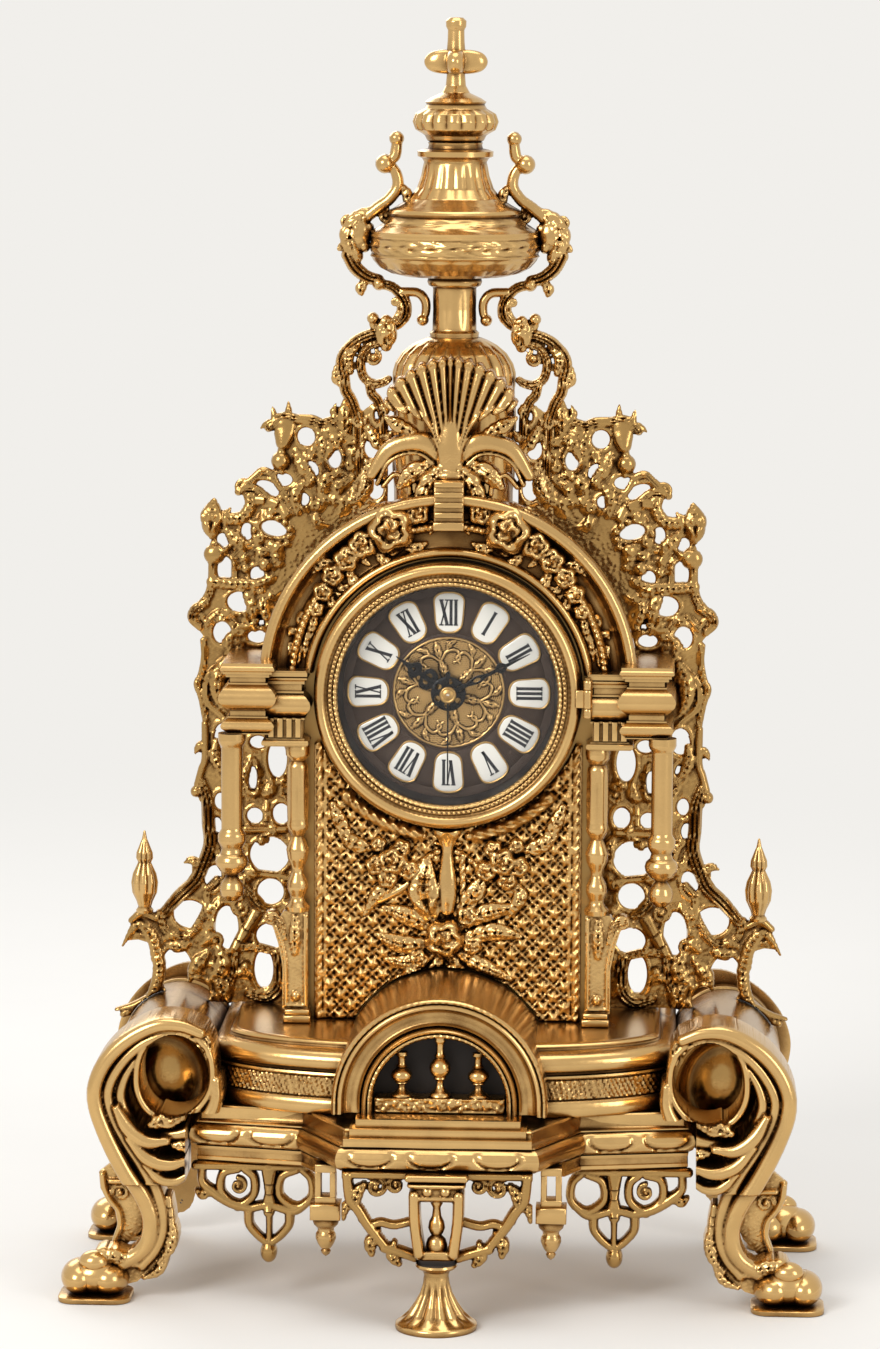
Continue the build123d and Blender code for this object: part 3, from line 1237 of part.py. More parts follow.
with BuildPart() as centre_wheel:
    gear("centre", 64, centre_module, centre_level, wheel_thickness, centre_phase)
    works_disc("centre", cannon_radius, centre_level, centre_level + wheel_thickness, Mode.SUBTRACT)
centre_wheel.part.label = "centre_wheel"
export_step(centre_wheel.part, "parts/centre_wheel.step")

with BuildPart() as cannon_pinion:
    cannon_back = third_level - 3 * plate_gap
    gear("centre", 12, motion_module, motion_level, wheel_thickness + plate_gap, cannon_phase)
    works_disc("centre", cannon_radius, minute_hand_front - 0.4, cannon_back)
    works_disc("centre", arbor_radius + running_gap, minute_hand_front - 0.4, cannon_back, Mode.SUBTRACT)
cannon_pinion.part.label = "cannon_pinion"
export_step(cannon_pinion.part, "parts/cannon_pinion.step")

with BuildPart() as motion_wheel:
    gear("motion", 36, motion_module, motion_level, wheel_thickness + plate_gap, motion_phase)
    gear("motion", 10, hour_module, hour_level - plate_gap, pinion_thickness, motion_phase)
    works_disc("motion", post_radius, works_front - 1, works_back + 0.8)
motion_wheel.part.label = "motion_wheel"
export_step(motion_wheel.part, "parts/motion_wheel.step")

with BuildPart() as hour_wheel:
    gear("centre", 40, hour_module, hour_level, wheel_thickness + plate_gap, hour_phase)
    works_disc("centre", pipe_radius, hour_hand_front - 0.3, hour_level)
    works_disc("centre", cannon_radius + running_gap, hour_hand_front - 0.3, hour_level + 1, Mode.SUBTRACT)
hour_wheel.part.label = "hour_wheel"
export_step(hour_wheel.part, "parts/hour_wheel.step")

knob_back = cover_back + 4.5
with BuildPart() as set_knob:
    gear("set", 18, motion_module, motion_level, wheel_thickness + plate_gap, set_phase)
    works_disc("set", 1.5, motion_level + 0.3, cover_back + 0.6)
    works_disc("set", 5, cover_back + 0.3, knob_back)
set_knob.part.label = "set_knob"
export_step(set_knob.part, "parts/set_knob.step")

with BuildPart() as fixing_nut:
    with BuildSketch(facing(medallion_front)):
        with Locations((0, dial_z)):
            RegularPolygon(5.77, 6)
    extrude(amount=1.9)
    works_disc("centre", bushing_radius, bushing_front - 0.5, medallion_front, Mode.SUBTRACT)
fixing_nut.part.label = "fixing_nut"
export_step(fixing_nut.part, "parts/fixing_nut.step")

# Round back door, its turn button and the screws

with BuildPart() as back_door:
    disc(0, dial_z, door_radius, door_front, door_front + door_thickness)
    box_at(door_radius - 6, door_hinge_x, door_front, door_front + door_thickness,
           dial_z - knuckle_half, dial_z + knuckle_half)
    with Locations((door_hinge_x, door_axis_y, dial_z)):
        Cylinder(knuckle_radius, 2 * knuckle_half)
    with Locations((door_hinge_x, door_axis_y, dial_z)):
        Cylinder(knuckle_hole + running_gap, 2 * knuckle_half, mode=Mode.SUBTRACT)
back_door.part.label = "back_door"
export_step(back_door.part, "parts/back_door.step")

latch_width = 6.0
latch_length = 20.0
latch_thickness = 1.8
with BuildPart() as door_latch:
    with BuildSketch(facing(latch_back + latch_thickness)):
        with Locations((-latch_x, dial_z)):
            SlotOverall(latch_length, latch_width, rotation=90)
    extrude(amount=latch_thickness)
    disc(-latch_x, dial_z, latch_pin + running_gap, latch_back, latch_back + latch_thickness, Mode.SUBTRACT)
door_latch.part.label = "door_latch"
export_step(door_latch.part, "parts/door_latch.step")

screw_head = 1.7 * screw_radius
screw_low = plinth_top - plinth_wall
with BuildPart() as screws:
    with Locations([(x, y, (screw_low + plinth_top + case_wall) / 2) for x, y, _ in screw_places]):
        Cylinder(screw_radius, plinth_wall + case_wall)
    with Locations([(x, y, screw_low - 1) for x, y, _ in screw_places]):
        Cylinder(screw_head, 2)
    head = latch_back + latch_thickness + running_gap
    disc(-latch_x, dial_z, latch_pin, case_back - case_wall, head)
    disc(-latch_x, dial_z, 1.8 * latch_pin, head, head + 1.2)
screws.part.label = "screws"
export_step(screws.part, "parts/screws.step")
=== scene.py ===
from functools import partial
import math
import bmesh
import bpy
import numpy as np
from mathutils import Matrix, Vector


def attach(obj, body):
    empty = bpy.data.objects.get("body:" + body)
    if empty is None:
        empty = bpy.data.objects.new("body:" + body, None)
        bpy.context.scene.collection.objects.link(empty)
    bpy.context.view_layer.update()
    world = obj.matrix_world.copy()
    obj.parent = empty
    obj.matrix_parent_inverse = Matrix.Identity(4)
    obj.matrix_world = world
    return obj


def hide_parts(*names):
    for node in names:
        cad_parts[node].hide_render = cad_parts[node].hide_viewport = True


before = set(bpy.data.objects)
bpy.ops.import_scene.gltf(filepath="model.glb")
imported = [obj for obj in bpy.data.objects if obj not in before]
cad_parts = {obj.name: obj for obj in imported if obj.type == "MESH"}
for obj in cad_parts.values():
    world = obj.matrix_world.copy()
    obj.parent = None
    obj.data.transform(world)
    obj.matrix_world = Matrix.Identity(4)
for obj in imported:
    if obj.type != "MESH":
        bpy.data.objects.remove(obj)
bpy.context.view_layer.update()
print("frame loaded")

# Everything is worked out in millimetres and goes into the meshes in metres
mm = 0.001
tau = 2 * math.pi

# Places that the pieces share with the solids
archZ = 264.5
dialZ = 259.6
plinthTop = 115.0
urnY = 50.0


# sRGB hex to linear: the standard curve, channel by channel
def colour(text):
    parts = [int(text[k:k + 2], 16) / 255 for k in (0, 2, 4)]
    return (*(c / 12.92 if c < 0.04045 else ((c + 0.055) / 1.055) ** 2.4 for c in parts), 1.0)


# Sets a node's values and plugs in what feeds it, by socket name or number; a node stands for its first output
def setNode(node, settings=(), feeds=()):
    for key, value in dict(settings).items():
        if isinstance(key, int) or key in node.inputs:
            node.inputs[key].default_value = value
        else:
            setattr(node, key, value)
    for key, source in dict(feeds).items():
        socket = source if isinstance(source, bpy.types.NodeSocket) else source.outputs[0]
        node.id_data.links.new(socket, node.inputs[key])
    return node


def addNode(tree, kind, settings=(), feeds=()):
    return setNode(tree.nodes.new("ShaderNode" + kind), settings, feeds)


# An empty material, its main shader and a way to add nodes beside it
def newMaterial(name):
    material = bpy.data.materials.new(name)
    material.use_nodes = True
    material.node_tree.nodes.clear()
    add = partial(addNode, material.node_tree)
    return material, add("BsdfPrincipled"), add


# Cast brass, patinated and polished back: brown stays in the hollows, high spots and edges are bright
def castBrass(name, look):
    material, shader, add = newMaterial(name)
    coords = add("TexCoord").outputs["Object"]
    hollow = add("AmbientOcclusion", {"samples": 6, "only_local": False, "Distance": look["reach"] * mm})
    cloud = add("TexNoise", {"Scale": 1 / (14 * mm), "Detail": 4.0}, {"Vector": coords})
    grain = add("TexNoise", {"Scale": 1 / (1.6 * mm), "Detail": 3.0}, {"Vector": coords})
    mottled = add("Math", {"operation": "MULTIPLY_ADD", 1: 0.5, 2: -0.25}, {0: cloud})
    opened = add("Math", {"operation": "ADD"}, {0: hollow.outputs["AO"], 1: mottled})
    edges = add("MapRange", {"From Min": 0.46, "From Max": 0.54, "To Min": -look["edge"],
                             "To Max": look["edge"]},
                {"Value": add("NewGeometry").outputs["Pointiness"]})
    worn = add("Math", {"operation": "ADD"}, {0: opened, 1: edges})
    clean = add("MapRange", {"interpolation_type": "SMOOTHSTEP", "From Min": look["dark"],
                             "From Max": look["bright"]},
                {"Value": worn})
    ramp = add("ValToRGB", feeds={"Fac": clean})
    stops = ramp.color_ramp.elements
    stops[0].color, stops[1].color = colour(look["patina"]), colour(look["metal"])
    stops.new(0.45).color = colour(look["bronze"])
    lift = add("MapRange", {"To Min": 0.86, "To Max": 1.1}, {"Value": cloud})
    rough = add("MapRange", {"To Min": look["roughHollow"], "To Max": look["roughHigh"]}, {"Value": clean})
    speck = add("Math", {"operation": "MULTIPLY_ADD", 1: 0.12, 2: -0.06}, {0: grain})
    setNode(shader, {"Metallic": 1.0}, {
        "Base Color": add("HueSaturation", feeds={"Color": ramp, "Value": lift}),
        "Roughness": add("Math", {"operation": "ADD", "use_clamp": True}, {0: rough, 1: speck}),
        "Normal": add("Bump", {"Strength": look["bump"], "Distance": 0.35 * mm}, {"Height": grain})})
    add("OutputMaterial", feeds={"Surface": shader})
    return material


# Plain part: one colour with a slight cloud, and a fine grain in the bump
def plainFinish(name, hexColour, rough, metallic, grainSize, bumpStrength, coat=0.0, spread=0.12):
    material, shader, add = newMaterial(name)
    coords = add("TexCoord").outputs["Object"]
    grain = add("TexNoise", {"Scale": 1 / (grainSize * mm), "Detail": 2.0}, {"Vector": coords})
    cloud = add("TexNoise", {"Scale": 1 / (12 * mm)}, {"Vector": coords})
    value = add("MapRange", {"To Min": 1 - spread, "To Max": 1 + spread}, {"Value": cloud})
    setNode(shader, {"Roughness": rough, "Metallic": metallic, "Coat Weight": coat}, {
        "Base Color": add("HueSaturation", {"Color": colour(hexColour)}, {"Value": value}),
        "Normal": add("Bump", {"Strength": bumpStrength, "Distance": 0.1 * mm}, {"Height": grain})})
    add("OutputMaterial", feeds={"Surface": shader})
    return material


# Domed window glass: clear and weaker in its reflections than plain glass, so that the dial reads
def windowGlass(name):
    material, shader, add = newMaterial(name)
    setNode(shader, {"Roughness": 0.0, "IOR": 1.25, "Transmission Weight": 1.0,
                     "Base Color": colour("FFFFFF")})
    paths = add("LightPath").outputs
    unseen = add("Math", {"operation": "MAXIMUM"}, {0: paths["Is Shadow Ray"], 1: paths["Is Diffuse Ray"]})
    mixed = add("MixShader", feeds={0: unseen, 1: shader, 2: add("BsdfTransparent")})
    add("OutputMaterial", feeds={"Surface": mixed})
    return material


# Old brown lacquer in the hollows, buffed on top: warm gold with sharp highlights; reach is how wide a hollow
# still counts, dark and bright where the ramp starts and ends, edge how much the ridges are rubbed
castLook = {"reach": 8.0, "dark": 0.2, "bright": 0.9, "patina": "332010", "bronze": "7A552C", "metal": "CBA56B",
            "roughHollow": 0.46, "roughHigh": 0.2, "bump": 0.22, "edge": 0.24}
brass = castBrass("castBrassBuffed", castLook)
# turned and polished: cleaner, paler and smoother
brassSmooth = castBrass("turnedBrassPolished", dict(castLook, reach=7.0, dark=0.26, bright=1.0, roughHigh=0.22,
                                                    bump=0.05, metal="D1AB70", edge=0.18))
# darker, browner copy of the cast brass for the set-back wings, aprons and drums: painted shade for where they
# sit back in shadow
brassShadedCopy = castBrass("castBrassShadedCopy", dict(castLook, dark=0.24, bright=1.0, metal="B38E56", bronze="684827"))
# fine chasing: only narrow hollows stay dark
brassChased = castBrass("castBrassChased", dict(castLook, reach=3.0, dark=0.3, bright=0.94, edge=0.2))
# matted ground of the front panel: grainy and less shiny
brassGround = castBrass("castBrassMatted", dict(castLook, reach=3.6, dark=0.24, bright=0.84, metal="C9A165",
                                                bump=0.5, roughHigh=0.3))
# stamped sheet with black rubbed in: dark ground, gilt scrolls
brassDial = castBrass("stampedBrassAntiqued", dict(castLook, reach=2.2, dark=0.62, bright=1.0, metal="B89560",
                                                   patina="21160C", bronze="5C4326", bump=0.2, roughHigh=0.3,
                                                   edge=0.4))
glass = windowGlass("floatGlassDomed")

# Name, colour, roughness, metallic, grain in mm and its depth
darkDial = plainFinish("lacqueredSheetDark", "33200F", 0.6, 0.3, 0.45, 0.06)  # dull brown, reads nearly black
darkSheet = plainFinish("lacqueredSheetBlack", "160D08", 0.6, 0.2, 1.0, 0.2)
enamel = plainFinish("vitreousEnamelCream", "E9E6DC", 0.12, 0.0, 3.0, 0.04, coat=0.6, spread=0.02)  # wet gloss
numeralPaint = plainFinish("firedNumeralBlack", "15151C", 0.3, 0.0, 1.0, 0.05)
handBlack = plainFinish("stampedSteelBlacked", "0E0D0D", 0.35, 0.6, 0.8, 0.1)
steel = plainFinish("turnedSteel", "9A9A98", 0.3, 1.0, 0.6, 0.1)
blackPlastic = plainFinish("mouldedStyreneBlack", "151515", 0.5, 0.0, 0.6, 0.25)
whitePlastic = plainFinish("mouldedAcetalNatural", "E4E2DA", 0.4, 0.0, 0.8, 0.08)
sleeve = plainFinish("batterySleeve", "20242A", 0.3, 0.3, 2.0, 0.05)
laminate = plainFinish("circuitLaminateGreen", "15442A", 0.4, 0.0, 1.0, 0.1)
brassPlain = plainFinish("sheetBrassLacquered", "A98752", 0.35, 1.0, 1.2, 0.15)  # even satin yellow
copper = plainFinish("woundCopperWire", "9A5228", 0.35, 1.0, 0.3, 0.5)
print("materials made")


# Rows of numbers from plain text
def table(columns, text):
    return np.array(text.split(), float).reshape(-1, columns)


pairs = partial(table, 2)


# Strokes from plain text: kind and widths | x z of each point | lift and gain; "twin" adds its mirror image
def strokes(text):
    notes, twins = [], []
    for word in text.split():
        if word == "twin":
            twins.append(len(notes))
        elif word == "|":
            notes[-1].append([])
        elif word.isalpha():
            notes.append([word, []])
        else:
            notes[-1][-1].append(float(word))
    made = [(kind, widths, np.reshape(line, (-1, 2)), *(more[0] if more else ()))
            for kind, widths, line, *more in notes]
    return made + [(kind, widths, line * (-1, 1), *more)
                   for kind, widths, line, *more in (made[k] for k in twins)]


# One piece from (points, faces) arrays: it rides a body, stands for the named solids and fills a material slot
def makePiece(name, parts, material, *nodes, body="clock_body", slot="cast_brass", sharpAngle=50, weld=False):
    points = np.concatenate([p for p, _ in parts]) * mm
    loops, starts, at, base = [], [], 0, 0
    for p, f in parts:
        count, sides = f.shape
        loops.append((f + base).ravel())
        starts.append(at + sides * np.arange(count))
        at += sides * count
        base += len(p)
    loops, starts = np.concatenate(loops).astype(np.int32), np.concatenate(starts).astype(np.int32)
    mesh = bpy.data.meshes.new(name)
    mesh.vertices.add(len(points))
    mesh.vertices.foreach_set("co", points.astype(np.float32).ravel())
    mesh.loops.add(len(loops))
    mesh.loops.foreach_set("vertex_index", loops)
    mesh.polygons.add(len(starts))
    mesh.polygons.foreach_set("loop_start", starts)
    mesh.polygons.foreach_set("use_smooth", np.ones(len(starts), bool))
    mesh.update(calc_edges=True)
    if weld:  # closes the poles and seams of turned forms
        shell = bmesh.new()
        shell.from_mesh(mesh)
        bmesh.ops.remove_doubles(shell, verts=shell.verts, dist=0.002 * mm)
        shell.to_mesh(mesh)
        shell.free()
    mesh.validate()
    mesh.set_sharp_from_angle(angle=math.radians(sharpAngle))
    mesh.materials.append(material)
    piece = bpy.data.objects.new(name, mesh)
    bpy.context.scene.collection.objects.link(piece)
    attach(piece, body)
    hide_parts(*nodes)


# Quads of a grid of nu by nv points, numbered row by row
def gridFaces(nu, nv, closeU=False, closeV=False):
    a, b = np.meshgrid(np.arange(nu if closeU else nu - 1), np.arange(nv if closeV else nv - 1), indexing="ij")
    a1, b1 = (a + 1) % nu, (b + 1) % nv
    return np.stack([a * nv + b, a1 * nv + b, a1 * nv + b1, a * nv + b1], -1).reshape(-1, 4)


# Faces with many corners that close the points before them, counted back from their end
def caps(points, *rows):
    return points[:0], np.array(rows) - len(points)


# The same parts on the other side of X = 0, with their faces turned back outwards
def mirrored(parts):
    return [(p * (-1, 1, 1), f[:, ::-1]) for p, f in parts]


def bothSides(parts):
    return parts + mirrored(parts)


# Points added along straight runs at the given spacing, measured in the first two columns
def refined(points, spacing, closed=False):
    p = np.asarray(points, float)
    ends = np.vstack([p, p[:1]]) if closed else p
    rows = [a + (b - a) * np.linspace(0, 1, max(1, int(np.hypot(*(b - a)[:2]) / spacing)),
                                      endpoint=False)[:, None]
            for a, b in zip(ends[:-1], ends[1:])]
    return np.vstack(rows + ([] if closed else [p[-1:]]))


# Points along a Catmull-Rom curve through the given ones, at even spacing; keeps extra columns
def smoothLine(points, spacing):
    p = np.asarray(points, float)
    if len(p) > 2:
        ends = np.vstack([2 * p[0] - p[1], p, 2 * p[-1] - p[-2]])
        t = np.linspace(0, 1, 24, endpoint=False)[:, None]
        rows = [0.5 * (2 * b + (c - a) * t + (2 * a - 5 * b + 4 * c - d) * t ** 2
                       + (3 * b - a - 3 * c + d) * t ** 3)
                for a, b, c, d in zip(ends, ends[1:], ends[2:], ends[3:])]
        p = np.vstack(rows + [p[-1:]])
    along = np.concatenate([[0], np.cumsum(np.hypot(*np.diff(p[:, :2], axis=0).T))])
    even = np.linspace(0, along[-1], max(2, int(along[-1] / spacing) + 1))
    return np.stack([np.interp(even, along, column) for column in p.T], 1), even


# Turned form about an upright line: radius and height along the profile, radius changed by ripple
def turned(profile, x, y, segments, ripple=None, spacing=0.8, smooth=False):
    p = smoothLine(profile, spacing)[0] if smooth else refined(profile, spacing)
    angle = np.linspace(0, tau, segments, endpoint=False)[:, None]
    r, z = p[:, 0] + 0 * angle, p[:, 1] + 0 * angle
    if ripple:
        r = r + ripple(angle, z, r) * (r > 0.01)
    pts = np.stack([x + r * np.cos(angle), y + r * np.sin(angle), z], -1).reshape(-1, 3)
    return [(pts, gridFaces(segments, len(p), closeU=True))]


# Turned form about a fore-and-aft line: radius and depth along the profile, depth changed by ripple
def dialRing(profile, centreZ, segments, start=0.0, arc=360.0, ripple=None, spacing=0.7, closed=True):
    p = refined(profile, spacing, closed)
    full = arc >= 360
    angle = np.radians(start + arc * np.linspace(0, 1, segments, endpoint=not full))[:, None]
    r, y = p[:, 0], p[:, 1] + 0 * angle
    if ripple:
        y = y + ripple(angle, r)
    pts = np.stack([r * np.cos(angle), y, centreZ + r * np.sin(angle)], -1).reshape(-1, 3)
    parts = [(pts, gridFaces(segments, len(p), closeU=full, closeV=closed))]
    if not full:
        k = np.arange(len(p))
        parts.append(caps(pts, k, (k + (segments - 1) * len(p))[::-1]))
    return parts


# Small balls at the given points, all in one array
def beads(places, radius, rings=5, sides=8):
    v = np.linspace(0, math.pi, rings + 1)[1:-1]
    u = np.linspace(0, tau, sides, endpoint=False)
    ball = np.stack([np.outer(np.cos(u), np.sin(v)), np.outer(np.sin(u), np.sin(v)),
                     np.outer(np.ones(sides), np.cos(v))], -1).reshape(-1, 3)
    n = len(v)
    ball = np.vstack([ball, [[0, 0, 1], [0, 0, -1]]])
    k, after = np.arange(sides), (np.arange(sides) + 1) % sides
    top = np.stack([k * n, after * n, np.full(sides, sides * n)], 1)
    bottom = np.stack([k * n + n - 1, np.full(sides, sides * n + 1), after * n + n - 1], 1)
    pts = (np.asarray(places, float)[:, None] + ball * radius).reshape(-1, 3)
    shift = (np.arange(len(places)) * len(ball))[:, None, None]
    return [(pts, (gridFaces(sides, n, closeU=True)[:, ::-1] + shift).reshape(-1, 4)),
            (pts[:0], (np.concatenate([top, bottom]) + shift - len(pts)).reshape(-1, 3))]


# A casting is a flat field of height over X and Z. Each stroke adds a smooth ridge along a curve, each boss a
# dome; the edge is where the nearest one ends. The field becomes a front face, a wall and a back.

# Height above the ground, in millimetres, of each kind of stroke: q is the distance from the middle line
# as a share of the half width, s the same with a side, t the length along it, w the half width
def strokeField(style, q, s, t, w):
    dome = np.sqrt(np.clip(1 - q * q, 0, 1))
    if style == "round":
        return w * dome
    if style == "flute":  # three ribs with two grooves
        return w * dome * (0.72 + 0.28 * np.cos(3 * math.pi * q))
    if style == "rim":  # sunk middle
        return w * dome * (0.6 + 0.4 * np.clip((q - 0.25) / 0.4, 0, 1))
    if style == "leaf":  # lobes that slant back from a sunk vein
        vein = np.exp(-(q / 0.16) ** 2)
        lobe = 0.5 + 0.5 * np.cos(tau * (t / np.maximum(2.6, 0.9 * w) - 0.9 * q))
        return w * (0.58 * dome + 0.28 * lobe * dome + 0.12) - 0.26 * w * vein
    if style == "rope":  # slanting strands
        return w * dome * (0.72 + 0.28 * np.cos(tau * (t / (2.2 * w) + 0.5 * s)))
    if style == "bead":  # row of balls
        u = (t / (2 * w)) % 1 - 0.5
        return w * np.sqrt(np.clip(1 - q * q - (2 * u) ** 2, 0, 1)) + 0.15 * w
    if style == "husk":  # overlapping bells
        return w * dome * (0.4 + 0.6 * ((t / (2.4 * w)) % 1))
    return 0.55 * w * np.clip((1 - q) * 3, 0, 1)  # flat band


# Height and edge fields of one casting, in the X and Z of the solids
class Relief:
    def __init__(self, x0, x1, z0, z1, step):
        self.step = step
        self.xs, self.zs = np.arange(x0, x1 + step, step), np.arange(z0, z1 + step, step)
        self.x, self.z = np.meshgrid(self.xs, self.zs, indexing="ij")
        self.edge = np.full(self.x.shape, -9.0)
        self.height = np.zeros(self.x.shape)

    def window(self, x0, x1, z0, z1):
        a, b = np.searchsorted(self.xs, (x0, x1))
        c, d = np.searchsorted(self.zs, (z0, z1))
        return slice(a, b + 1), slice(c, d + 1)

    def join(self, part, inside, height):
        self.edge[part] = np.maximum(self.edge[part], inside)
        self.height[part] = np.where(inside > -self.step, np.maximum(self.height[part], height),
                                     self.height[part])

    # A ridge along a smooth line; its widths are spread evenly over its points
    def stroke(self, style, width, points, lift=0.0, gain=1.0):
        w = np.asarray(width, float) / 2
        w = np.interp(np.linspace(0, 1, len(points)), np.linspace(0, 1, len(w)), w)
        line, along = smoothLine(np.column_stack([points, w]), 0.45)
        p, w = line[:, :2], line[:, 2]
        if style == "leaf":
            w = w * (0.78 + 0.22 * np.abs(np.cos(math.pi * along / np.maximum(2.6, 0.9 * w))))
        big = w.max() + 2 * self.step
        (x0, z0), (x1, z1) = p.min(0) - big, p.max(0) + big
        part = self.window(x0, x1, z0, z1)
        x, z = self.x[part], self.z[part]
        if not x.size:
            return
        away = np.hypot(x[..., None] - p[:, 0], z[..., None] - p[:, 1])
        near = np.argmin(away - w, -1)
        pick = np.take_along_axis(away, near[..., None], -1)[..., 0]
        wn, way = w[near], np.gradient(p, axis=0)
        side = np.sign(way[near, 0] * (z - p[near, 1]) - way[near, 1] * (x - p[near, 0]))
        q = pick / wn
        self.join(part, wn - pick, lift + gain * strokeField(style, q, side * q, along[near], wn))

    # A dome, or with petals a rosette: its edge and height wave round the middle
    def boss(self, x, z, rx, rz=None, gain=0.8, lift=0.0, petals=0, turn=0.0):
        rz = rz or rx
        part = self.window(x - rx - 2, x + rx + 2, z - rz - 2, z + rz + 2)
        dx, dz = (self.x[part] - x) / rx, (self.z[part] - z) / rz
        r = np.hypot(dx, dz)
        size = min(rx, rz)
        height = np.sqrt(np.clip(1 - r * r, 0, 1))
        if petals:
            angle = np.arctan2(dz, dx) + turn
            r = r / (0.86 + 0.14 * np.abs(np.cos(petals * angle / 2)))
            whorl = np.where(r > 0.46, np.cos(petals * angle + 5 * r), np.cos(3 * angle - 9 * r))
            ring = np.exp(-((r - 0.46) / 0.07) ** 2)
            height = (np.clip(1 - r ** 6, 0, 1) * (0.64 + 0.08 * whorl - 0.08 * ring)
                      + 0.24 * np.exp(-(r / 0.16) ** 2))
        self.join(part, (1 - r) * size, lift + gain * size * height)

    # A spiral that ends in a small ball
    def curl(self, x, z, radius, width, start, way, turns=1.2):
        t = np.linspace(0, 1, 14)
        r = radius * (1 - 0.72 * t)
        a = math.radians(start) + way * tau * turns * t
        self.stroke("flute", np.interp(t, (0, 1), (width, width * 0.6)),
                    np.column_stack([x + r * np.cos(a), z + r * np.sin(a)]))
        self.boss(x, z, 0.32 * radius, gain=1.3)

    # Flat ground inside an outline, with a worked surface
    def plate(self, outline, rough):
        a, b = outline, np.roll(outline, -1, 0)
        x, z, d = self.x[..., None], self.z[..., None], b - a
        share = np.clip(((x - a[:, 0]) * d[:, 0] + (z - a[:, 1]) * d[:, 1]) / (d ** 2).sum(1), 0, 1)
        away = np.hypot(x - a[:, 0] - share * d[:, 0], z - a[:, 1] - share * d[:, 1]).min(-1)
        cross = ((a[:, 1] > z) != (b[:, 1] > z)) & (x < a[:, 0] + (z - a[:, 1]) * d[:, 0]
                                                    / np.where(d[:, 1] == 0, 1e-9, d[:, 1]))
        inside = np.where(cross.sum(-1) % 2 == 1, away, -away)
        work = rough * (np.sin(self.x * 1.7 + 2 * np.sin(self.z * 0.9))
                        * np.sin(self.z * 1.9 + 1.7 * np.sin(self.x * 0.8)))
        self.join((slice(None), slice(None)), inside, work)

    # An oval opening; rim raises a lip round it
    def cut(self, x, z, rx, rz, turn=0.0, rim=0.0):
        c, s = math.cos(math.radians(turn)), math.sin(math.radians(turn))
        dx, dz = self.x - x, self.z - z
        away = (np.hypot((dx * c + dz * s) / rx, (dz * c - dx * s) / rz) - 1) * min(rx, rz)
        self.limit(away)
        if rim:
            self.height = self.height + rim * np.exp(-((away - 1.0) / 0.8) ** 2)

    # Cuts with any field that is positive where metal stays
    def limit(self, keep):
        self.edge = np.minimum(self.edge, keep)

    # Front face, wall and back as arrays; front and back are depths in the solids' frame. Points near the edge
    # move onto it along its slope, and the height runs out there in a quarter round.
    def mesh(self, front, back, backGain=0.0, edgeRound=0.8):
        e = self.edge
        gx, gz = np.gradient(e, self.step)
        slope = np.maximum(gx ** 2 + gz ** 2, 0.25)
        keep = e > -0.9 * self.step
        snap = keep & (e < 0.3 * self.step)
        x = self.x - np.where(snap, e * gx / slope, 0)
        z = self.z - np.where(snap, e * gz / slope, 0)
        h = self.height * np.sqrt(np.clip(1 - (1 - np.clip(e / edgeRound, 0, 1)) ** 2, 0, 1))
        cells = [slice(None, -1), slice(1, None)]
        around = [(cells[0], cells[0]), (cells[1], cells[0]), (cells[1], cells[1]), (cells[0], cells[1])]
        quad = np.all([keep[k] for k in around], 0) & np.any([e[k] > 0 for k in around], 0)
        n = self.x.shape[1]
        i, j = np.nonzero(quad)
        corners = np.stack([i * n + j, (i + 1) * n + j, (i + 1) * n + j + 1, i * n + j + 1], 1)
        used = np.zeros(e.size, bool)
        used[corners.ravel()] = True
        f = (np.cumsum(used) - 1)[corners]
        pf, pb = (np.stack([x, y, z], -1).reshape(-1, 3)[used] for y in (front - h, back + backGain * h))
        edges = np.concatenate([f[:, [0, 1]], f[:, [1, 2]], f[:, [2, 3]], f[:, [3, 0]]])
        key = np.sort(edges, 1).astype(np.int64)
        m = len(pf)
        _, first, count = np.unique(key[:, 0] * m + key[:, 1], return_index=True, return_counts=True)
        rim = edges[first[count == 1]]
        walls = np.stack([rim[:, 1], rim[:, 0], rim[:, 0] + m, rim[:, 1] + m], 1)
        return [(np.concatenate([pf, pb]), np.concatenate([f, f[:, ::-1] + m, walls]))]


# Small leaves scattered over a patch so that it reads as dense cast foliage; the draws are seeded
def scatter(relief, seed, count, xRange, zRange, size, keep=None):
    rng = np.random.default_rng(seed)
    for x, z, turn, grow in zip(rng.uniform(*xRange, count), rng.uniform(*zRange, count),
                                rng.uniform(0, tau, count), rng.uniform(0.75, 1.25, count)):
        if keep and not keep(x, z):
            continue
        long, bend = size * grow, turn + 0.7
        relief.stroke("leaf", [0.35 * long, 0.8 * long, 0.25 * long],
                      [(x, z), (x + 0.6 * long * math.cos(turn), z + 0.6 * long * math.sin(turn)),
                       (x + 1.1 * long * math.cos(bend), z + 1.1 * long * math.sin(bend))], 0.2, 0.9)


# A pierced casting from its notes: ground plate less the holes, then ridges, volutes and domes, highest on top.
# Holes are x z, half sizes and turn; bosses x z, half sizes and gain; curls x z, radius, width, start and way;
# lumps are roses by x z and size
casting = {"margin": 7, "ground": 0.25, "holeGrow": 1.16, "lip": 0.7}


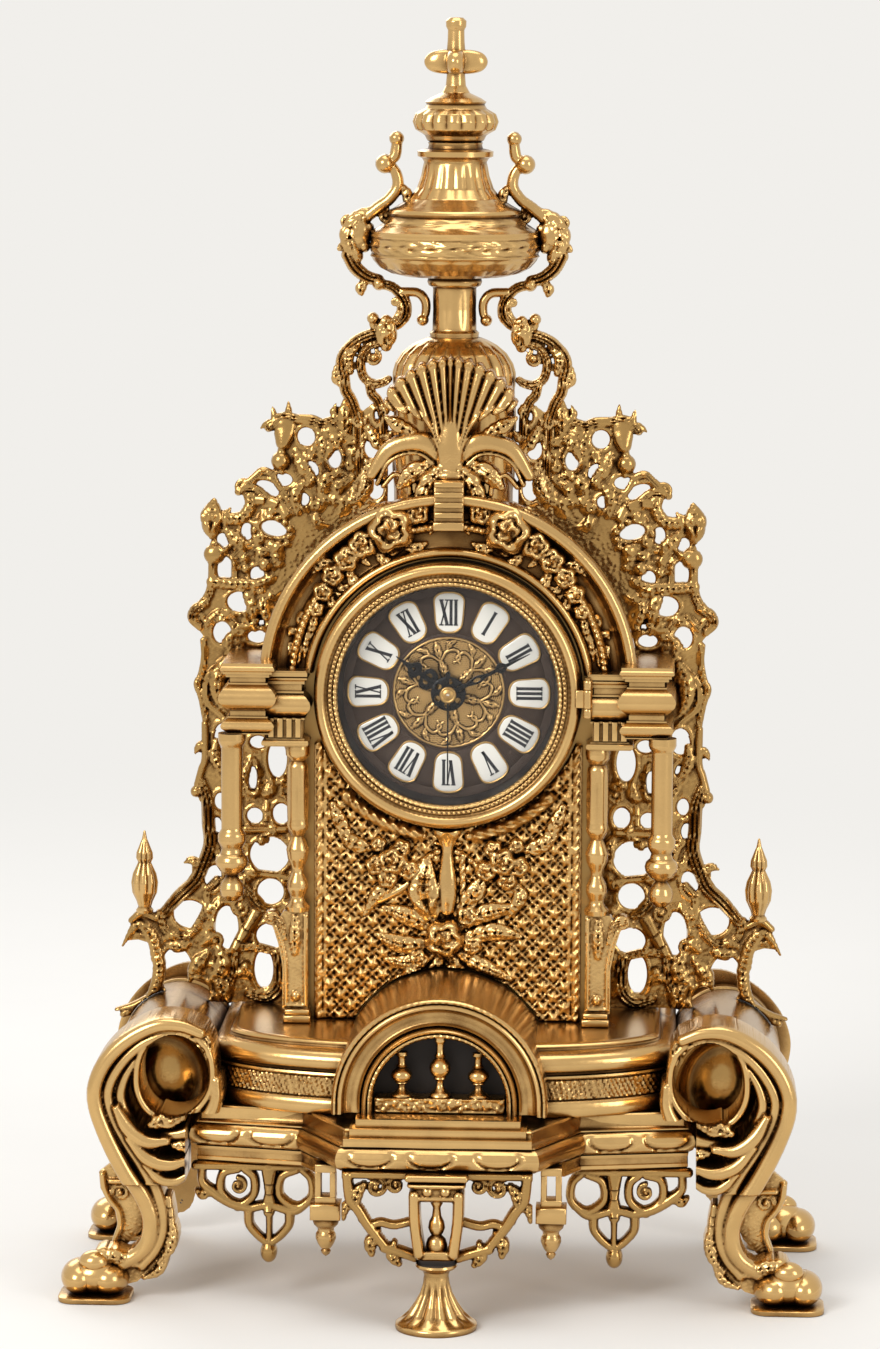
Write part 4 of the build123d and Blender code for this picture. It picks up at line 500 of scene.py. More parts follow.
def pierced(notes, patches=(), keepOut=None):
    outline = notes.get("outline")
    points = np.vstack([line for _, _, line, *_ in notes["strokes"]] + ([] if outline is None else [outline]))
    (x0, z0), (x1, z1) = points.min(0) - casting["margin"], points.max(0) + casting["margin"]
    relief = Relief(x0, x1, z0, z1, notes["step"])
    if outline is not None:
        relief.plate(outline, casting["ground"])
    for patch in patches:
        scatter(relief, *patch)
    for x, z, rx, rz, turn in notes.get("holes", ()):
        relief.cut(x, z, casting["holeGrow"] * rx, casting["holeGrow"] * rz, turn, casting["lip"])
    for note in notes["strokes"]:
        relief.stroke(*note)
    for note in notes.get("curls", ()):
        relief.curl(*note)
    for note in notes.get("bosses", ()):
        relief.boss(*note)
    for x, z, size in notes.get("lumps", ()):
        relief.boss(x, z, size, gain=1.1, lift=1.2, petals=5, turn=x + z)
    if keepOut:
        relief.limit(keepOut(relief.x, relief.z))
    return relief.mesh(notes["front"], notes["back"], notes.get("hollow", 0.0))


# Field that is positive outside a circle about x = 0
def outsideOf(z0, radius):
    return lambda x, z: np.hypot(x, z - z0) - radius


print("helpers ready")


# Lobes that come and go round a turned form, strongest at one height
def lobed(count, depth, z0, z1, sharp=1.0):
    return lambda angle, z, r: (depth * (np.abs(np.cos(count * angle / 2)) ** sharp - 0.5)
                                * np.sin(math.pi * np.clip((z - z0) / (z1 - z0), 0, 1)) ** 0.6)


# A band of small leaves and buds on a turned form
def chased(count, depth, z0, z1):
    def ripple(angle, z, r):
        rise = np.clip((z - z0) / (z1 - z0), 0, 1)
        vine = (np.sin(count * angle + 2.4 * np.sin(tau * rise))
                * np.sin(2.0 * math.pi * rise + 0.6 * count * angle))
        return depth * np.sin(math.pi * rise) ** 0.5 * (0.5 + vine)
    return ripple


def several(*ripples):
    return lambda angle, z, r: sum(ripple(angle, z, r) for ripple in ripples)


finialForm = {
    "profile": pairs("""0 496 11 496 12.4 497 13.4 499 17 501.5 18 505 17 508.4 13.6 510.6 12.6 512.4
    13.4 513.6 11 515.2 6.2 517.4 4.4 520.6 4 525 4 536 3.7 540 3.6 544.4 4.4 546 4.5 548.4 3 549.8 0 550"""),
    "lobes": 16, "lobeDepth": 1.5}
finial = turned(finialForm["profile"], 0, urnY, 128,
                lobed(finialForm["lobes"], finialForm["lobeDepth"], 500, 510.5), 0.5)
# four fleurs round the stem: a clover in plan with a domed section
clover = turned(pairs("0 525.4 6 525.8 9.4 527.4 10.8 530.8 9.4 534.2 6 535.8 0 536.2"), 0, urnY, 96,
                lambda angle, z, r: r * (0.36 * np.cos(4 * angle) - 0.08), 0.6, True)
makePiece("finialPiece", finial + clover, brassSmooth, "finial", weld=True)

coverForm = {
    "profile": pairs("""0 456.5 36.4 456.5 36.8 457.6 34 459 31.4 460.6 29.6 462.6 28.6 464 29.3 465.4
    28.4 466.8 24.4 469 19.8 471.8 16.4 476.2 14.6 481.6 13.7 487.6 14.6 489.2 16.5 490 16.6 492.2 14.4 493
    12 493.4 11.6 495 12 496 0 496""")}
cover = turned(coverForm["profile"], 0, urnY, 144,
               several(lobed(18, 0.7, 468, 487), chased(11, 0.5, 458.4, 464)),
               0.6)
makePiece("urnCoverPiece", cover, brassSmooth, "urn_cover", weld=True)

bowlForm = {
    "profile": pairs("""0 411.5 10.6 411.5 10.8 413.4 9.6 414.6 9.2 423.5 9.5 433 11.4 434 12 435.6 11.6 437
    15 437.6 22 438 28 439.4 32.6 441.8 35.4 444.8 36.2 446 37 446.8 36.4 447.8 36.7 451.5 36.4 454.6
    37 455.6 36.4 456.6 0 456.6""")}
bowl = turned(bowlForm["profile"], 0, urnY, 192,
              several(lobed(22, 0.8, 437.4, 446), chased(17, 0.75, 448.2, 454.4),
                      lobed(8, 0.35, 415, 432)), 0.5)
makePiece("urnBowlPiece", bowl, brassSmooth, "urn_bowl", weld=True)

pedestalForm = {
    "profile": pairs("""0 326 26 326 26.4 392 26.2 396 25 400 22.2 404.6 18.4 408 15 410 12 411.2 10.4 411.5
    0 411.5""")}
pedestal = turned(pedestalForm["profile"], 0, urnY, 160,
                  several(lobed(20, 1.7, 388, 410, 0.7), chased(13, 0.8, 345, 388)), 0.8)
makePiece("urnPedestalPiece", pedestal, brassSmooth, "urn_pedestal", weld=True)

handleForm = {
    "front": 48.6, "back": 51.4, "step": 0.5, "hollow": -1.0,
    "strokes": strokes("""
    round 4.6 5 4.4 | -25.4 496 -26.4 490 -29.6 487.2
    round 4.4 5 5.2 5.4 | -28.6 486.6 -25.6 482 -25.2 476.4 -28.8 471.2 -33.4 467.8 -38 464
    leaf 4 9 10 6 | -37 466 -42 462 -45.6 455 -43 446
    flute 6 6 5.6 5 | -46.6 447 -43.4 441.4 -38.4 437.4 -33.4 436
    flute 4.2 4.6 4.8 4.4 | -33 434.4 -27 432.8 -21.9 427.4 -21.2 421.4 -23.6 417.8 -27.4 415.3
    round 4 4 3.4 | -22.5 431 -16 430.5 -12.8 427 -12.6 422 -14 419.4
    leaf 2 5 1.4 | -24.4 478 -20.8 473 -21.6 467
    leaf 2 5 1.4 | -38 437 -41 432.5 -40.6 429.6"""),
    "bosses": table(5, """-30.6 486.6 4.2 4.2 1.1 -25.6 497.6 3.2 3.2 1.1 -33 434.5 3 3 1.2
    -13.9 418.8 2.6 2.6 1.2 -41.6 456.4 5.4 6.6 0.8 -46.6 455 3 5 0.9 -42 463.4 4 3 1 -44.6 448.6 3.6 3 1
    -39.4 451 2.6 3 1.3 -37.4 458.8 2 2.4 1.3 -43.8 459.8 2 1.6 2.6 -41.6 453 2.4 1.6 2.4"""),
    "curls": table(6, "-29.8 463.8 3 2.4 90 1 -47 461 3 2.2 0 1 -47.4 449.6 3 2.2 180 -1")}
makePiece("urnHandlesPiece", bothSides(pierced(handleForm)), brass, "urn_handles")

spireForm = {
    "x": 136.0, "y": 44.5,
    "profile": pairs("""0 155 3.6 155 3.9 156.2 2.8 157.6 3.4 160 5.2 164 5.6 168.6 4.8 172.6 3.2 176
    2.5 177.6 3.4 179.4 3.3 182 2.4 184.4 1.2 188 0.5 191.6 0 192""")}
spire = turned(spireForm["profile"], -spireForm["x"], spireForm["y"], 48, lobed(8, 0.9, 157, 188), 0.5)
makePiece("spiresPiece", bothSides(spire), brassSmooth, "spires", weld=True)

columnForm = {
    "x": 93.0, "y": -2.0,
    "profile": pairs("""0 169 2.8 169.6 4.8 172 5.3 174.6 4.6 177.4 3 179.6 2.5 180.4 3.4 181.2 5 182.4
    6.8 185 7.2 187 6.6 189 5 190.4 4.4 192.6 5.2 194 6 195.6 6 198.6 5.2 200 4.6 201 4.6 237 5.6 238.6
    6 239.8 6 243 0 243""")}
column = turned(columnForm["profile"], -columnForm["x"], columnForm["y"], 56, None, 0.6)
makePiece("columnsPiece", bothSides(column), brassSmooth, "columns", weld=True)

footForm = {
    "y": -73.0,
    "profile": pairs("""0 0 17.2 0 17.5 1 17.3 2.4 15.6 3.6 12.4 6.4 9.4 10.6 7 15 5.8 19 5.2 23 5.8 25 8 26
    8.9 27 8.6 28 0 28"""), "flutes": 12}
foot = turned(footForm["profile"], 0, footForm["y"], 144,
              lambda angle, z, r: -0.16 * r * np.abs(np.cos(footForm["flutes"] * angle / 2)) ** 3
              * np.clip((z - 3) / 3, 0, 1) * np.clip((21 - z) / 4, 0, 1), 0.6)
makePiece("centreFootPiece", foot, brassSmooth, "centre_foot", weld=True)
print("turned pieces made")

upperWing = {
    "front": 45.2, "back": 47.0, "step": 0.66, "hollow": -0.3,
    "outline": pairs("""-44 236 -109.2 236 -109.5 250.3 -113 257.7 -108 265.7 -109 273.7 -110 279.4 -113 283
    -115 287 -112.5 290.5 -107 293.7 -106 298 -107 303 -107 309 -109 315.3 -105 321 -109 328 -109 333
    -105 336 -100 333 -94 333.5 -91.3 338 -93 344 -91.5 346.5 -87 349 -83 352.5 -79 352.5 -78.5 358 -77 361
    -75.5 366 -77 371 -79 373.5 -73 376.5 -66 376 -57.5 374 -50 376 -44 377"""),
    "holes": table(5, """-64.5 367.5 3.3 3.5 8 -74.5 348.5 3.4 2.4 0 -81.5 344.5 4.6 2.7 -25
    -78.4 327 4.9 2.9 -10 -101 321.7 2.4 2.6 0 -100.2 308.5 2.9 5 0 -86 306.5 2.6 3 0 -94 294.3 4.5 3.8 0
    -101.5 280.5 3.4 4.2 0 -85 289 4.4 4 20 -86 279 3.6 2.4 0 -100.8 234.5 3.6 5 0
    -62 353 2.4 3.2 20 -52 358 2.4 3.6 0 -90.5 325.5 2.2 3.2 0 -66 340 2.4 2.4 0"""),
    "strokes": strokes("""
    flute 4.2 | -81 371.5 -77 375.2 -73 376.3 -69 375.3 -62 375 -57.5 373.4 -52.5 375
    leaf 4 3.4 1 | -78 373.5 -81.5 373 -84.3 371.2
    leaf 4 3 0.8 | -77.5 374 -78.6 377 -79.3 380.4
    leaf 4 3 0.8 | -72.5 374 -72.3 379 -72.4 382.6
    leaf 5 7.4 0.8 | -47.3 370 -47.3 377 -47.7 384.6
    leaf 3 3.5 0.8 | -49 372 -52.5 378 -51.5 382
    husk 10 9 6.5 | -74 372 -74 368.5 -74.6 364.6
    round 3 4.6 3 | -74.8 363 -76 357.5 -75 352
    leaf 2 6 3 | -69 361.5 -66.5 355 -61 349.5
    leaf 3 6 2 | -60 371.5 -57 364 -58.5 356
    flute 3.6 3 3 | -94.2 343 -88.3 348.6 -84 352.3 -79.8 351 -77 346.3 -73.7 341.6 -70.3 334.3
    flute 3.4 3 | -92 345 -86.5 344.5 -81 340.5
    leaf 3 10.6 7 1.2 | -105.8 323 -106.2 330 -105.6 335 -105 339.8
    leaf 5.5 6 4.5 | -100 331 -93 331.5 -89.5 336 -89 341
    husk 5 | -88.6 339 -82.5 339.5 -76.4 337.5 -73.5 333.2
    bead 3.4 | -86.6 321.4 -87.2 327.5 -83.2 331.6 -77 331.6 -71.7 326.8 -73 320.5
    flute 3.2 | -100 327 -96.7 319 -96 312 -96 303.7
    leaf 3 6.5 2 | -99.4 326 -95 322 -89.5 319.3
    flute 3.2 4.2 4 | -106 311 -105.9 304.4 -107.3 297.5 -111.5 291.8
    leaf 5 5.5 5 4 | -106 303 -96 302.3 -86.5 302.3 -80 305
    flute 3 | -94.7 315.5 -91.5 318.5 -87.5 318.5 -84 315.5 -83.9 312
    leaf 3 6 2 | -82 322 -77.5 316 -79 309
    flute 3.6 3.6 3 | -108 284.6 -103.3 289 -97.6 287 -94.8 282.3 -95.4 276.6 -99.3 271
    flute 4 4.6 4 3 | -108.6 293.7 -113.3 290.8 -114.8 286.8 -111.5 282.8
    round 3 | -93.6 283.4 -90 283.5 -86.3 286.3
    leaf 5 7 3 | -90 297 -87.5 291 -92 286
    leaf 3 6 4 | -82 298 -83 292 -80.5 285
    rim 2.6 3 3 3 2.6 | -101.9 266.5 -107.8 261 -109 253.7 -107.3 248.6 -102.7 244.6 -99 241
    flute 3 | -109.8 277 -109.4 270 -110.8 262 -112.7 257.5 -110.6 251 -108.6 240
    leaf 4 8 6 2 | -100 268 -103 261 -103.3 253 -100.5 246
    leaf 3 5 3 | -97 271 -98.5 277 -96 281
    round 3 | -94 236 -94 247
    flute 2.5 4 4 | -40 346 -50 352 -55 345
    leaf 4 7 3 | -46 368 -52 366 -56 358
    leaf 4 7 3 | -50 352 -56 348 -58 340
    leaf 3 6 3 | -66 347 -69 342 -68 334"""),
    "bosses": table(5, """-75.7 356.7 4.2 4.2 0.9 -77.1 318.7 3.3 3.3 0.9 -82.5 311 3.3 3.3 0.9
    -76.1 311.5 2 2 0.9 -104.8 315.3 4.8 4.6 0.7 -85 272 1.9 1.9 1 -87 283 2 2 0.9 -91 309 2.2 2.2 0.9"""),
    "curls": table(6, """-92.4 344.8 3.4 2.2 40 1 -52 374.2 3.4 2 200 1 -105.6 315 4.8 2.6 90 -1
    -97.8 275.2 3.4 2.2 120 1 -113.2 286.4 3.4 2.2 0 1 -103.6 249.4 3.2 2 200 1""")}

lowerWing = {
    "front": 45.2, "back": 47.0, "step": 0.66, "hollow": -0.3,
    "outline": pairs("""-66 105 -66 237 -109 237 -108 223 -111 211 -112 206 -108 201 -109 187 -111 181
    -115 177 -115 173 -121 164 -128 157 -131 155 -139 154 -143 148 -144 142 -139 142.5 -134 141 -130 133.3
    -131.5 124 -135 116 -129 105"""),
    "holes": table(5, """-100.8 234 3.5 4.6 0 -85.5 232 3.2 2.4 0 -77 224.5 3.6 7 0 -102.3 205.3 2.2 3.2 0
    -104 194.3 2 3.2 0 -105.6 171 3 4.8 -15 -116 154.2 6.2 5.4 0 -99.5 148.5 4.4 8.4 0 -79.7 145 5.7 5 0
    -80 165 5 5 0 -80.5 181.5 7.4 7 0 -87 199 3 3 0 -75.3 200 3.2 4 0 -83 130 3.6 7.5 0 -112.5 119 4.5 5 0
    -122 128 6.2 9.6 0 -138 148.5 2.6 2.4 0 -101 221 1.8 3 0 -88 216 1.6 4.5 0"""),
    "strokes": strokes("""
    flute 4 6 6 6 6 6 6 5 | -110.5 214 -108 205 -107.6 195 -107 186 -110.3 176 -113.5 169.3 -120.5 162.5
    -127.5 154.5
    round 3.4 | -109 240 -109 225 -110.6 219.4 -112.4 212.6
    leaf 4 4 1 | -112 176 -115 178.6 -118.3 177.6
    flute 3.8 | -129.4 154.4 -127 147 -119.8 143.6 -114.6 146.4 -110 154 -108.2 159.3 -108 165 -104 169.8
    leaf 5 6 5 3.4 1 | -131 134 -132 142 -137 149 -141.5 147 -146 139.6
    round 3 4 3 | -131 152 -137 154.6 -142 151
    leaf 5 6 5.6 5 3 | -131 140 -129.7 131 -131 122 -135.5 113.5 -146 108.5
    round 4 3.4 1.5 | -134 116 -141 112.6 -149 110.6
    flute 4 5.6 3 | -91 167 -86 160 -81 156
    husk 5.5 6.2 5 | -86.5 154.4 -91 147 -96 138.6
    round 4.2 | -91 193 -73 193.5
    round 3.4 | -90 173.5 -73 171.7
    flute 3.2 4 3.4 | -97 138 -88 140 -73 136.5
    husk 2.6 3.6 3 | -81.5 205 -82 197 -82 188
    flute 5 5.6 5 4 | -76.5 137 -76 124 -81.5 117.5 -90 119
    flute 4.4 4.6 4.6 | -96 136 -98 124.3 -106.5 111.5
    leaf 4 8 3 | -103 139 -101 131 -107 124
    leaf 4 8 3 | -104 112 -101 120 -106 128
    leaf 3 7 2 | -108 137 -113 131 -116 124
    leaf 3 7 2 | -108 110 -116 111 -121 113.5
    leaf 3 6 2 | -117 141 -121 139.5 -126 140.5
    leaf 4 6 3 | -99 178 -98 185 -103 190
    leaf 3 6 3 | -100 214 -96 207 -97 198
    leaf 3 6 2 | -104 232 -104.5 225 -100 217
    leaf 3 5 2 | -89 224 -92 215 -90 206
    leaf 3 6 2 | -70 178 -70 186 -72 192
    leaf 3 6 2 | -70 150 -71 157 -75 160
    round 3 | -94.5 236 -94.5 196
    leaf 3 6 4 2 | -93 172 -97 176 -103 180 -104 186"""),
    "bosses": table(5, """-113 209.5 2.6 2.6 0.9 -106 158 2 2 1 -84 188 2.2 2.6 1 -91 131 2.6 2.6 0.9
    -94 128 2 2 1"""),
    "curls": table(6, """-125 114.5 4 2.4 0 1 -93 157.5 4.4 2.6 90 1 -104.5 142 4 2.4 200 -1
    -73.5 153.5 3.6 2.2 0 1 -72 210 3.8 2.2 90 1 -91.5 208 2.8 1.8 0 1""")}


def beyondArch(x, z):
    return math.hypot(x, z - archZ) > 80


# each patch: seed, count, x range, z range, leaf size, and where leaves may stand
side = pierced(upperWing, [(3, 30, (-66, -40), (330, 374), 6.4, beyondArch),
                           (4, 14, (-110, -76), (296, 336), 6.0),
                           (5, 12, (-98, -78), (272, 300), 5.6, beyondArch),
                           (6, 9, (-107, -80), (238, 270), 5.4)], outsideOf(archZ, 76.5))
# the wings sit back: their darker brass is painted shade
makePiece("wingsUpper", bothSides(side), brassShadedCopy, "upper_wings")
bombe = {"x": -122.0, "z": 91.0, "rx": 25.3, "rz": 29.3, "plinthHalf": 109}


# Leaves out the drum's oval and the plinth
def offDrum(x, z):
    drum = (np.hypot((x - bombe["x"]) / bombe["rx"], (z - bombe["z"]) / bombe["rz"]) - 1) * bombe["rx"]
    return np.minimum(drum, np.maximum(z - plinthTop, -x - bombe["plinthHalf"]))


side = pierced(lowerWing, [(7, 34, (-110, -68), (108, 232), 6.0),
                           (8, 8, (-130, -110), (108, 150), 5.4)], offDrum)
# the wings sit back: their darker brass is painted shade
makePiece("wingsLower", bothSides(side), brassShadedCopy, "lower_wings")
print("wings made")

# Shell: flutes fan out from the root, deep between, with a scalloped rim; under it a hinge, scrolls that leave
# it sideways, leaves draped down the key block, and a tongue up the middle
shellForm = {
    "front": 17.5, "back": 22.0, "step": 0.5, "rootZ": 352.0, "flutes": 27, "half": 92.0, "belly": 5.5,
    "fan": pairs("""0 358 5 360 6.4 368 10.5 375.4 17 379.6 25 381.2 29.2 386 26.4 392.5 20 398.5 11 403.6
    0 406"""),
    "strokes": strokes("""
    twin round 4 9 8 7 5 | -4 360 -10 367.4 -18 368 -27 364.4 -34 354 | 1 0.7
    twin round 2.2 | -5 356 -12 362.6 -20 363 -27 359 -31.6 350 | 1.6
    twin leaf 4 9 4 | -8 359 -16 355 -22 349 | 0.8
    twin leaf 4 7 2 | -14 371 -22 375 -28 378.5 | 0.2
    twin leaf 5 9 8 3 | -4 357 -9.6 350 -12 342 -12.6 334 | 3.6
    twin round 2.4 | -29 349 -24 354 -18.5 351 -17.5 345.5 | 1
    round 3 8 11.6 10 8.4 | 0 386 0 377 0 367 0 360 0 353.6 | 3.4 0.55""")}


def shell(notes):
    edge, _ = smoothLine(notes["fan"], 0.6)
    relief = Relief(-38, 38, 334, 409, notes["step"])
    relief.plate(np.vstack([edge, (edge * (-1, 1))[-2:0:-1]]), 0.0)
    angle = np.degrees(np.arctan2(relief.x, relief.z - notes["rootZ"]))
    far = np.hypot(relief.x, relief.z - notes["rootZ"])
    spread = np.sign(angle) * np.abs(angle / notes["half"]) ** 0.82
    flute = np.abs(np.cos(spread * notes["flutes"] * math.pi / 2))
    relief.edge = relief.edge - 1.6 * (1 - flute) * np.clip((far - 20) / 20, 0, 1)
    belly = notes["belly"] * np.sin(np.clip((far - 4) / 54, 0, 1) * math.pi * 0.8)
    lip = 1.6 * np.exp(-((relief.edge - 1.6) / 1.3) ** 2)
    relief.height = np.where(relief.edge > -1,
                             0.6 + belly + (0.36 + 0.02 * far) * (flute ** 0.6 * 2 - 1) + lip, 0)
    for note in notes["strokes"]:
        relief.stroke(*note)
    relief.boss(0, 353.6, 5.6, 3.2, lift=4.6)
    relief.limit(outsideOf(archZ, 75.6)(relief.x, relief.z))
    return relief.mesh(notes["front"], notes["back"])


# Block whose front and back edges are taken off: rectangles stacked along the depth, drawn in at both ends
def softBlock(x0, x1, y0, y1, z0, z1, edge=0.6):
    rows = [(edge, 0), (0.3 * edge, 0.3 * edge), (0, edge)]
    levels = [(i, y0 + lift) for i, lift in rows] + [(i, y1 - lift) for i, lift in rows[::-1]]
    pts = [[(x0 + i, y, z0 + i), (x1 - i, y, z0 + i), (x1 - i, y, z1 - i), (x0 + i, y, z1 - i)]
           for i, y in levels]
    n, k = len(levels), np.arange(4)
    return [(np.array(pts).transpose(1, 0, 2).reshape(-1, 3),
             np.concatenate([gridFaces(4, n, closeU=True)[:, ::-1], [k * n], [k[::-1] * n + n - 1]]))]


# key block with its bars: half width, bottom, front, top
blocks = []
for half, low, front, high in table(4, """6.4 331 3 352.5 6.2 350 1 352.4 6.2 345.6 1 348 6.2 341.2 1 343.6
6.2 336.8 1 339.2 6.6 331.4 0.6 335"""):
    blocks += softBlock(-half, half, front, 16, low, high)
makePiece("crestShellPiece", shell(shellForm) + blocks, brassChased, "crest_shell")

crestScroll = {
    "front": 44.4, "back": 47.0, "step": 0.55, "hollow": -0.3,
    "outline": pairs("-28.6 330 -44 330 -44 372 -41 378 -36 382 -30 380 -28.6 372"),
    "holes": table(5, "-35.5 362.8 2.8 3.8 0 -34 345 3 4 0 -32.4 377.4 1.8 2.4 0"),
    "strokes": strokes("""
    flute 2.6 3.6 4 | -24.7 427.8 -23.4 423.8 -25.3 419.2 -29.6 416
    leaf 5 10 5 | -29.6 407.6 -29.6 413.3 -29.6 419
    leaf 3 4 1 | -30.5 414 -34.8 416.6 -36.2 420
    flute 4 4.6 5 5 5 5 4.6 | -31 413.4 -36 412.8 -42 410.2 -47.2 405.2 -49.2 400 -48 394 -47.2 388
    -44.4 383 -41.4 374
    flute 3.6 4 4.2 4 3.4 | -30.8 409.5 -37.6 407 -40.7 401 -39.4 394 -35 391 -30.8 391.6 -28.6 393
    flute 4 4.4 4.4 4 | -37 391.6 -35.8 386.6 -33.3 383.6 -31 377.5 -30.5 369
    leaf 3 6 3 | -42 408 -46.5 403 -45 396
    leaf 3 5 2 | -47 390 -51 393 -51.6 398
    flute 3.6 3.8 3.8 | -41.3 378 -41.4 365.6 -40.7 350
    leaf 3 6 3 | -37 372 -34 366 -30.6 362
    leaf 3 6 3 | -38 357 -34 353 -30.6 356
    leaf 3 7 3 | -42 340 -38 346 -38.5 354"""),
    "bosses": table(5, "-35.4 419.6 2.6 2.6 1.1 -34.8 402.6 2 2 1.1 -29.6 413.3 3 3.4 1.5"),
    "curls": table(6, "-35.4 402.4 3.4 2 60 -1 -25.6 426.6 1.8 1.8 0 1")}
scroll = pierced(crestScroll, [(9, 16, (-43, -30), (334, 378), 4.4)], outsideOf(archZ, 76.5))
makePiece("crestScrollsPiece", bothSides(scroll), brassChased, "crest_scrolls")
print("crest made")

# Moulding carried round a closed plan with mitred corners; the profile is out from the plan, and height
def moulded(plan, profile):
    plan, p = np.asarray(plan, float), np.asarray(profile, float)
    sides = [np.roll(plan, -1, 0) - plan, plan - np.roll(plan, 1, 0)]
    n1, n0 = ((v / np.linalg.norm(v, axis=1, keepdims=True))[:, ::-1] * (1, -1) for v in sides)
    mitre = (n0 + n1) / (1 + (n0 * n1).sum(1, keepdims=True))
    return carried(plan, mitre, p[:, 0] + 0 * plan[:, :1], p[:, 1], True)


# Points and faces of a section carried along a path in plan, each section moved out along its mitre
def carried(path, way, out, heights, closed):
    pts = np.stack([path[:, :1] + way[:, :1] * out, path[:, 1:] + way[:, 1:] * out, heights + 0 * out], -1)
    pts, (count, n) = pts.reshape(-1, 3), out.shape
    if closed:
        rings = np.arange(count)
        return [(pts, gridFaces(count, n, closeU=True)), caps(pts, rings[::-1] * n),
                caps(pts, rings * n + n - 1)]
    k = np.arange(n)
    return [(pts, gridFaces(count, n, closeV=True)), caps(pts, k, (k + (count - 1) * n)[::-1])]


# Rounded steps of a moulding: each belt is bottom, top, how far out, bulge; a bulge is a half circle
def belts(items):
    rows = []
    for z0, z1, out, bulge in items:
        rows += [(out + bulge * math.sin(math.pi * k), z0 + (z1 - z0) * k)
                 for k in np.linspace(0, 1, 7 if bulge else 2)]
    return rows


shoulderForm = {
    "outer": {
        "plan": [(-95, -5), (-77, -5), (-77, 50), (-95, 50)],
        "belts": table(4, """243 243.4 0.2 0 243.4 249.8 -0.6 3.2 250 250.6 -0.4 0 250.8 253 -1.4 0
        253.2 264.4 -0.6 4.2 264.6 265.2 -0.4 0 265.4 267.6 -1.4 0 267.8 269 0.4 0 269.2 270.2 1.6 0
        270.4 272.4 2.2 0.6 272.6 274 2 0""")},
    "inner": {
        "plan": [(-78, 1.4), (-62.4, 1.4), (-62.4, 15.8), (-78, 15.8)],
        "belts": table(4, """237 237.4 1.4 0 237.4 239.6 2 0.4 239.8 240.4 0.6 0 240.5 248.4 -0.4 0
        248.6 249.4 0.6 0 249.6 260 -0.6 4 260.2 261 0.2 0 261.2 264 -0.8 0 264.2 265.4 0.6 0
        265.6 267.4 0.8 1 267.6 269.4 1.8 0 269.4 270 1.4 0""")}}
shoulder = sum((moulded(part["plan"], belts(part["belts"])) for part in shoulderForm.values()), [])
for k in range(4):  # dentils
    shoulder += softBlock(-77.4 + 3.9 * k, -75 + 3.9 * k, -0.6, 3, 241, 249.4, 0.4)
hinge = {"x": 60.6, "y": -2.6, "radius": 2.0}


# A hinge knuckle with its corners taken off
def knuckle(low, high, inset):
    r = hinge["radius"]
    return turned([(0, low), (r - 0.2, low), (r, low + inset), (r, high - inset), (r - 0.2, high), (0, high)],
                  hinge["x"], hinge["y"], 28)


knuckles = knuckle(dialZ - 8.1, dialZ - 8.1 + 3.9, 0.3) + knuckle(dialZ + 4.2, dialZ + 4.2 + 3.9, 0.3)
makePiece("shouldersPiece", bothSides(shoulder) + knuckles, brassSmooth, "shoulders", weld=True, sharpAngle=35)

pilasterForm = {
    "x": -65.0, "y": 6.0,
    "profile": pairs("""0 164 5 164 5.4 166 3.4 168.4 3 170 4.6 174 4.4 177 2.4 181 2.6 183 4.4 187 5 191
    4 194 2.6 197 4.6 200.4 4.8 202 4.5 204 4.5 228 3.4 230 5.2 232.6 5.4 235 5.2 237 0 237""")}
pilaster = turned(pilasterForm["profile"], pilasterForm["x"], pilasterForm["y"], 40,
                  lobed(6, 0.5, 204, 228), 0.8)
pilaster += softBlock(-71, -59, 0, 12, 115, 118.4, 0.8) + softBlock(-70.4, -59.6, 0.8, 12, 118.4, 121, 0.8)
panelForm = {
    "front": 3.4, "back": 10.0, "step": 0.5,
    "outline": pairs("""-71.4 120.6 -60.4 120.6 -60.4 164 -71 164 -73 161 -78.5 163.5 -79 160 -75.6 157
    -73.4 150 -71.4 140"""),
    "strokes": strokes("""
    round 1.6 | -70 122.5 -70 140 -71.6 150 -74 157
    round 1.6 | -61.6 122.5 -61.6 162
    round 1.6 | -69.6 122.4 -62 122.4
    leaf 3 5 3 | -66 146 -66 153 -66 161
    flute 2 3.4 3 | -70.4 152 -73 160 -78 161.6"""), "bosses": table(5, "-65.6 126.6 2 2.4 0.8"),
    "curls": table(6, "-76.4 160.4 3.2 2 0 1")}
pilaster += pierced(panelForm)
makePiece("pilastersPiece", bothSides(pilaster), brassSmooth, "pilasters", weld=True)

archForm = {
    "rim": pairs("""82 16 82 7.4 81.5 6.2 80.6 5.3 79.5 5 78.4 5.3 77.5 6.2 77 7.4 76.2 9.6 75 11.4
    73.2 12.6 71.4 12.8 70.4 12.2 69.8 10.8 69.4 9.4 68.4 8.4 67.4 8.3 66.5 9.2 66 10.6 65.4 12 64.4 12.2
    63.6 11.8 63.4 10.4 62.9 9 62 8 61 7.8 60 8.3 59.4 9.4 59.2 10.8 59.2 16"""),
    "reach": 59.3, "inner": 59.2, "fixedFrom": 64.7}


# The arch's inner edge follows the bezel, whose centre is lower: r = -e sin a + root(R^2 - (e cos a)^2)
def besideBezel(parts, notes):
    (pts, faces), *rest = parts
    drop = archZ - dialZ
    x, z = pts[:, 0], pts[:, 2] - archZ
    r, angle = np.hypot(x, z), np.arctan2(z, x)
    edge = -drop * np.sin(angle) + np.sqrt(notes["reach"] ** 2 - (drop * np.cos(angle)) ** 2)
    r = np.where(r < notes["fixedFrom"], edge + (r - notes["inner"]), r)
    return [(np.stack([r * np.cos(angle), pts[:, 1], archZ + r * np.sin(angle)], -1), faces)] + rest


# Slanting cuts of the arch's middle rope
def archRope(angle, r):
    return np.where((r > 66.3) & (r < 69.6), -0.5 * np.cos(150 * angle + 0.9 * r), 0)


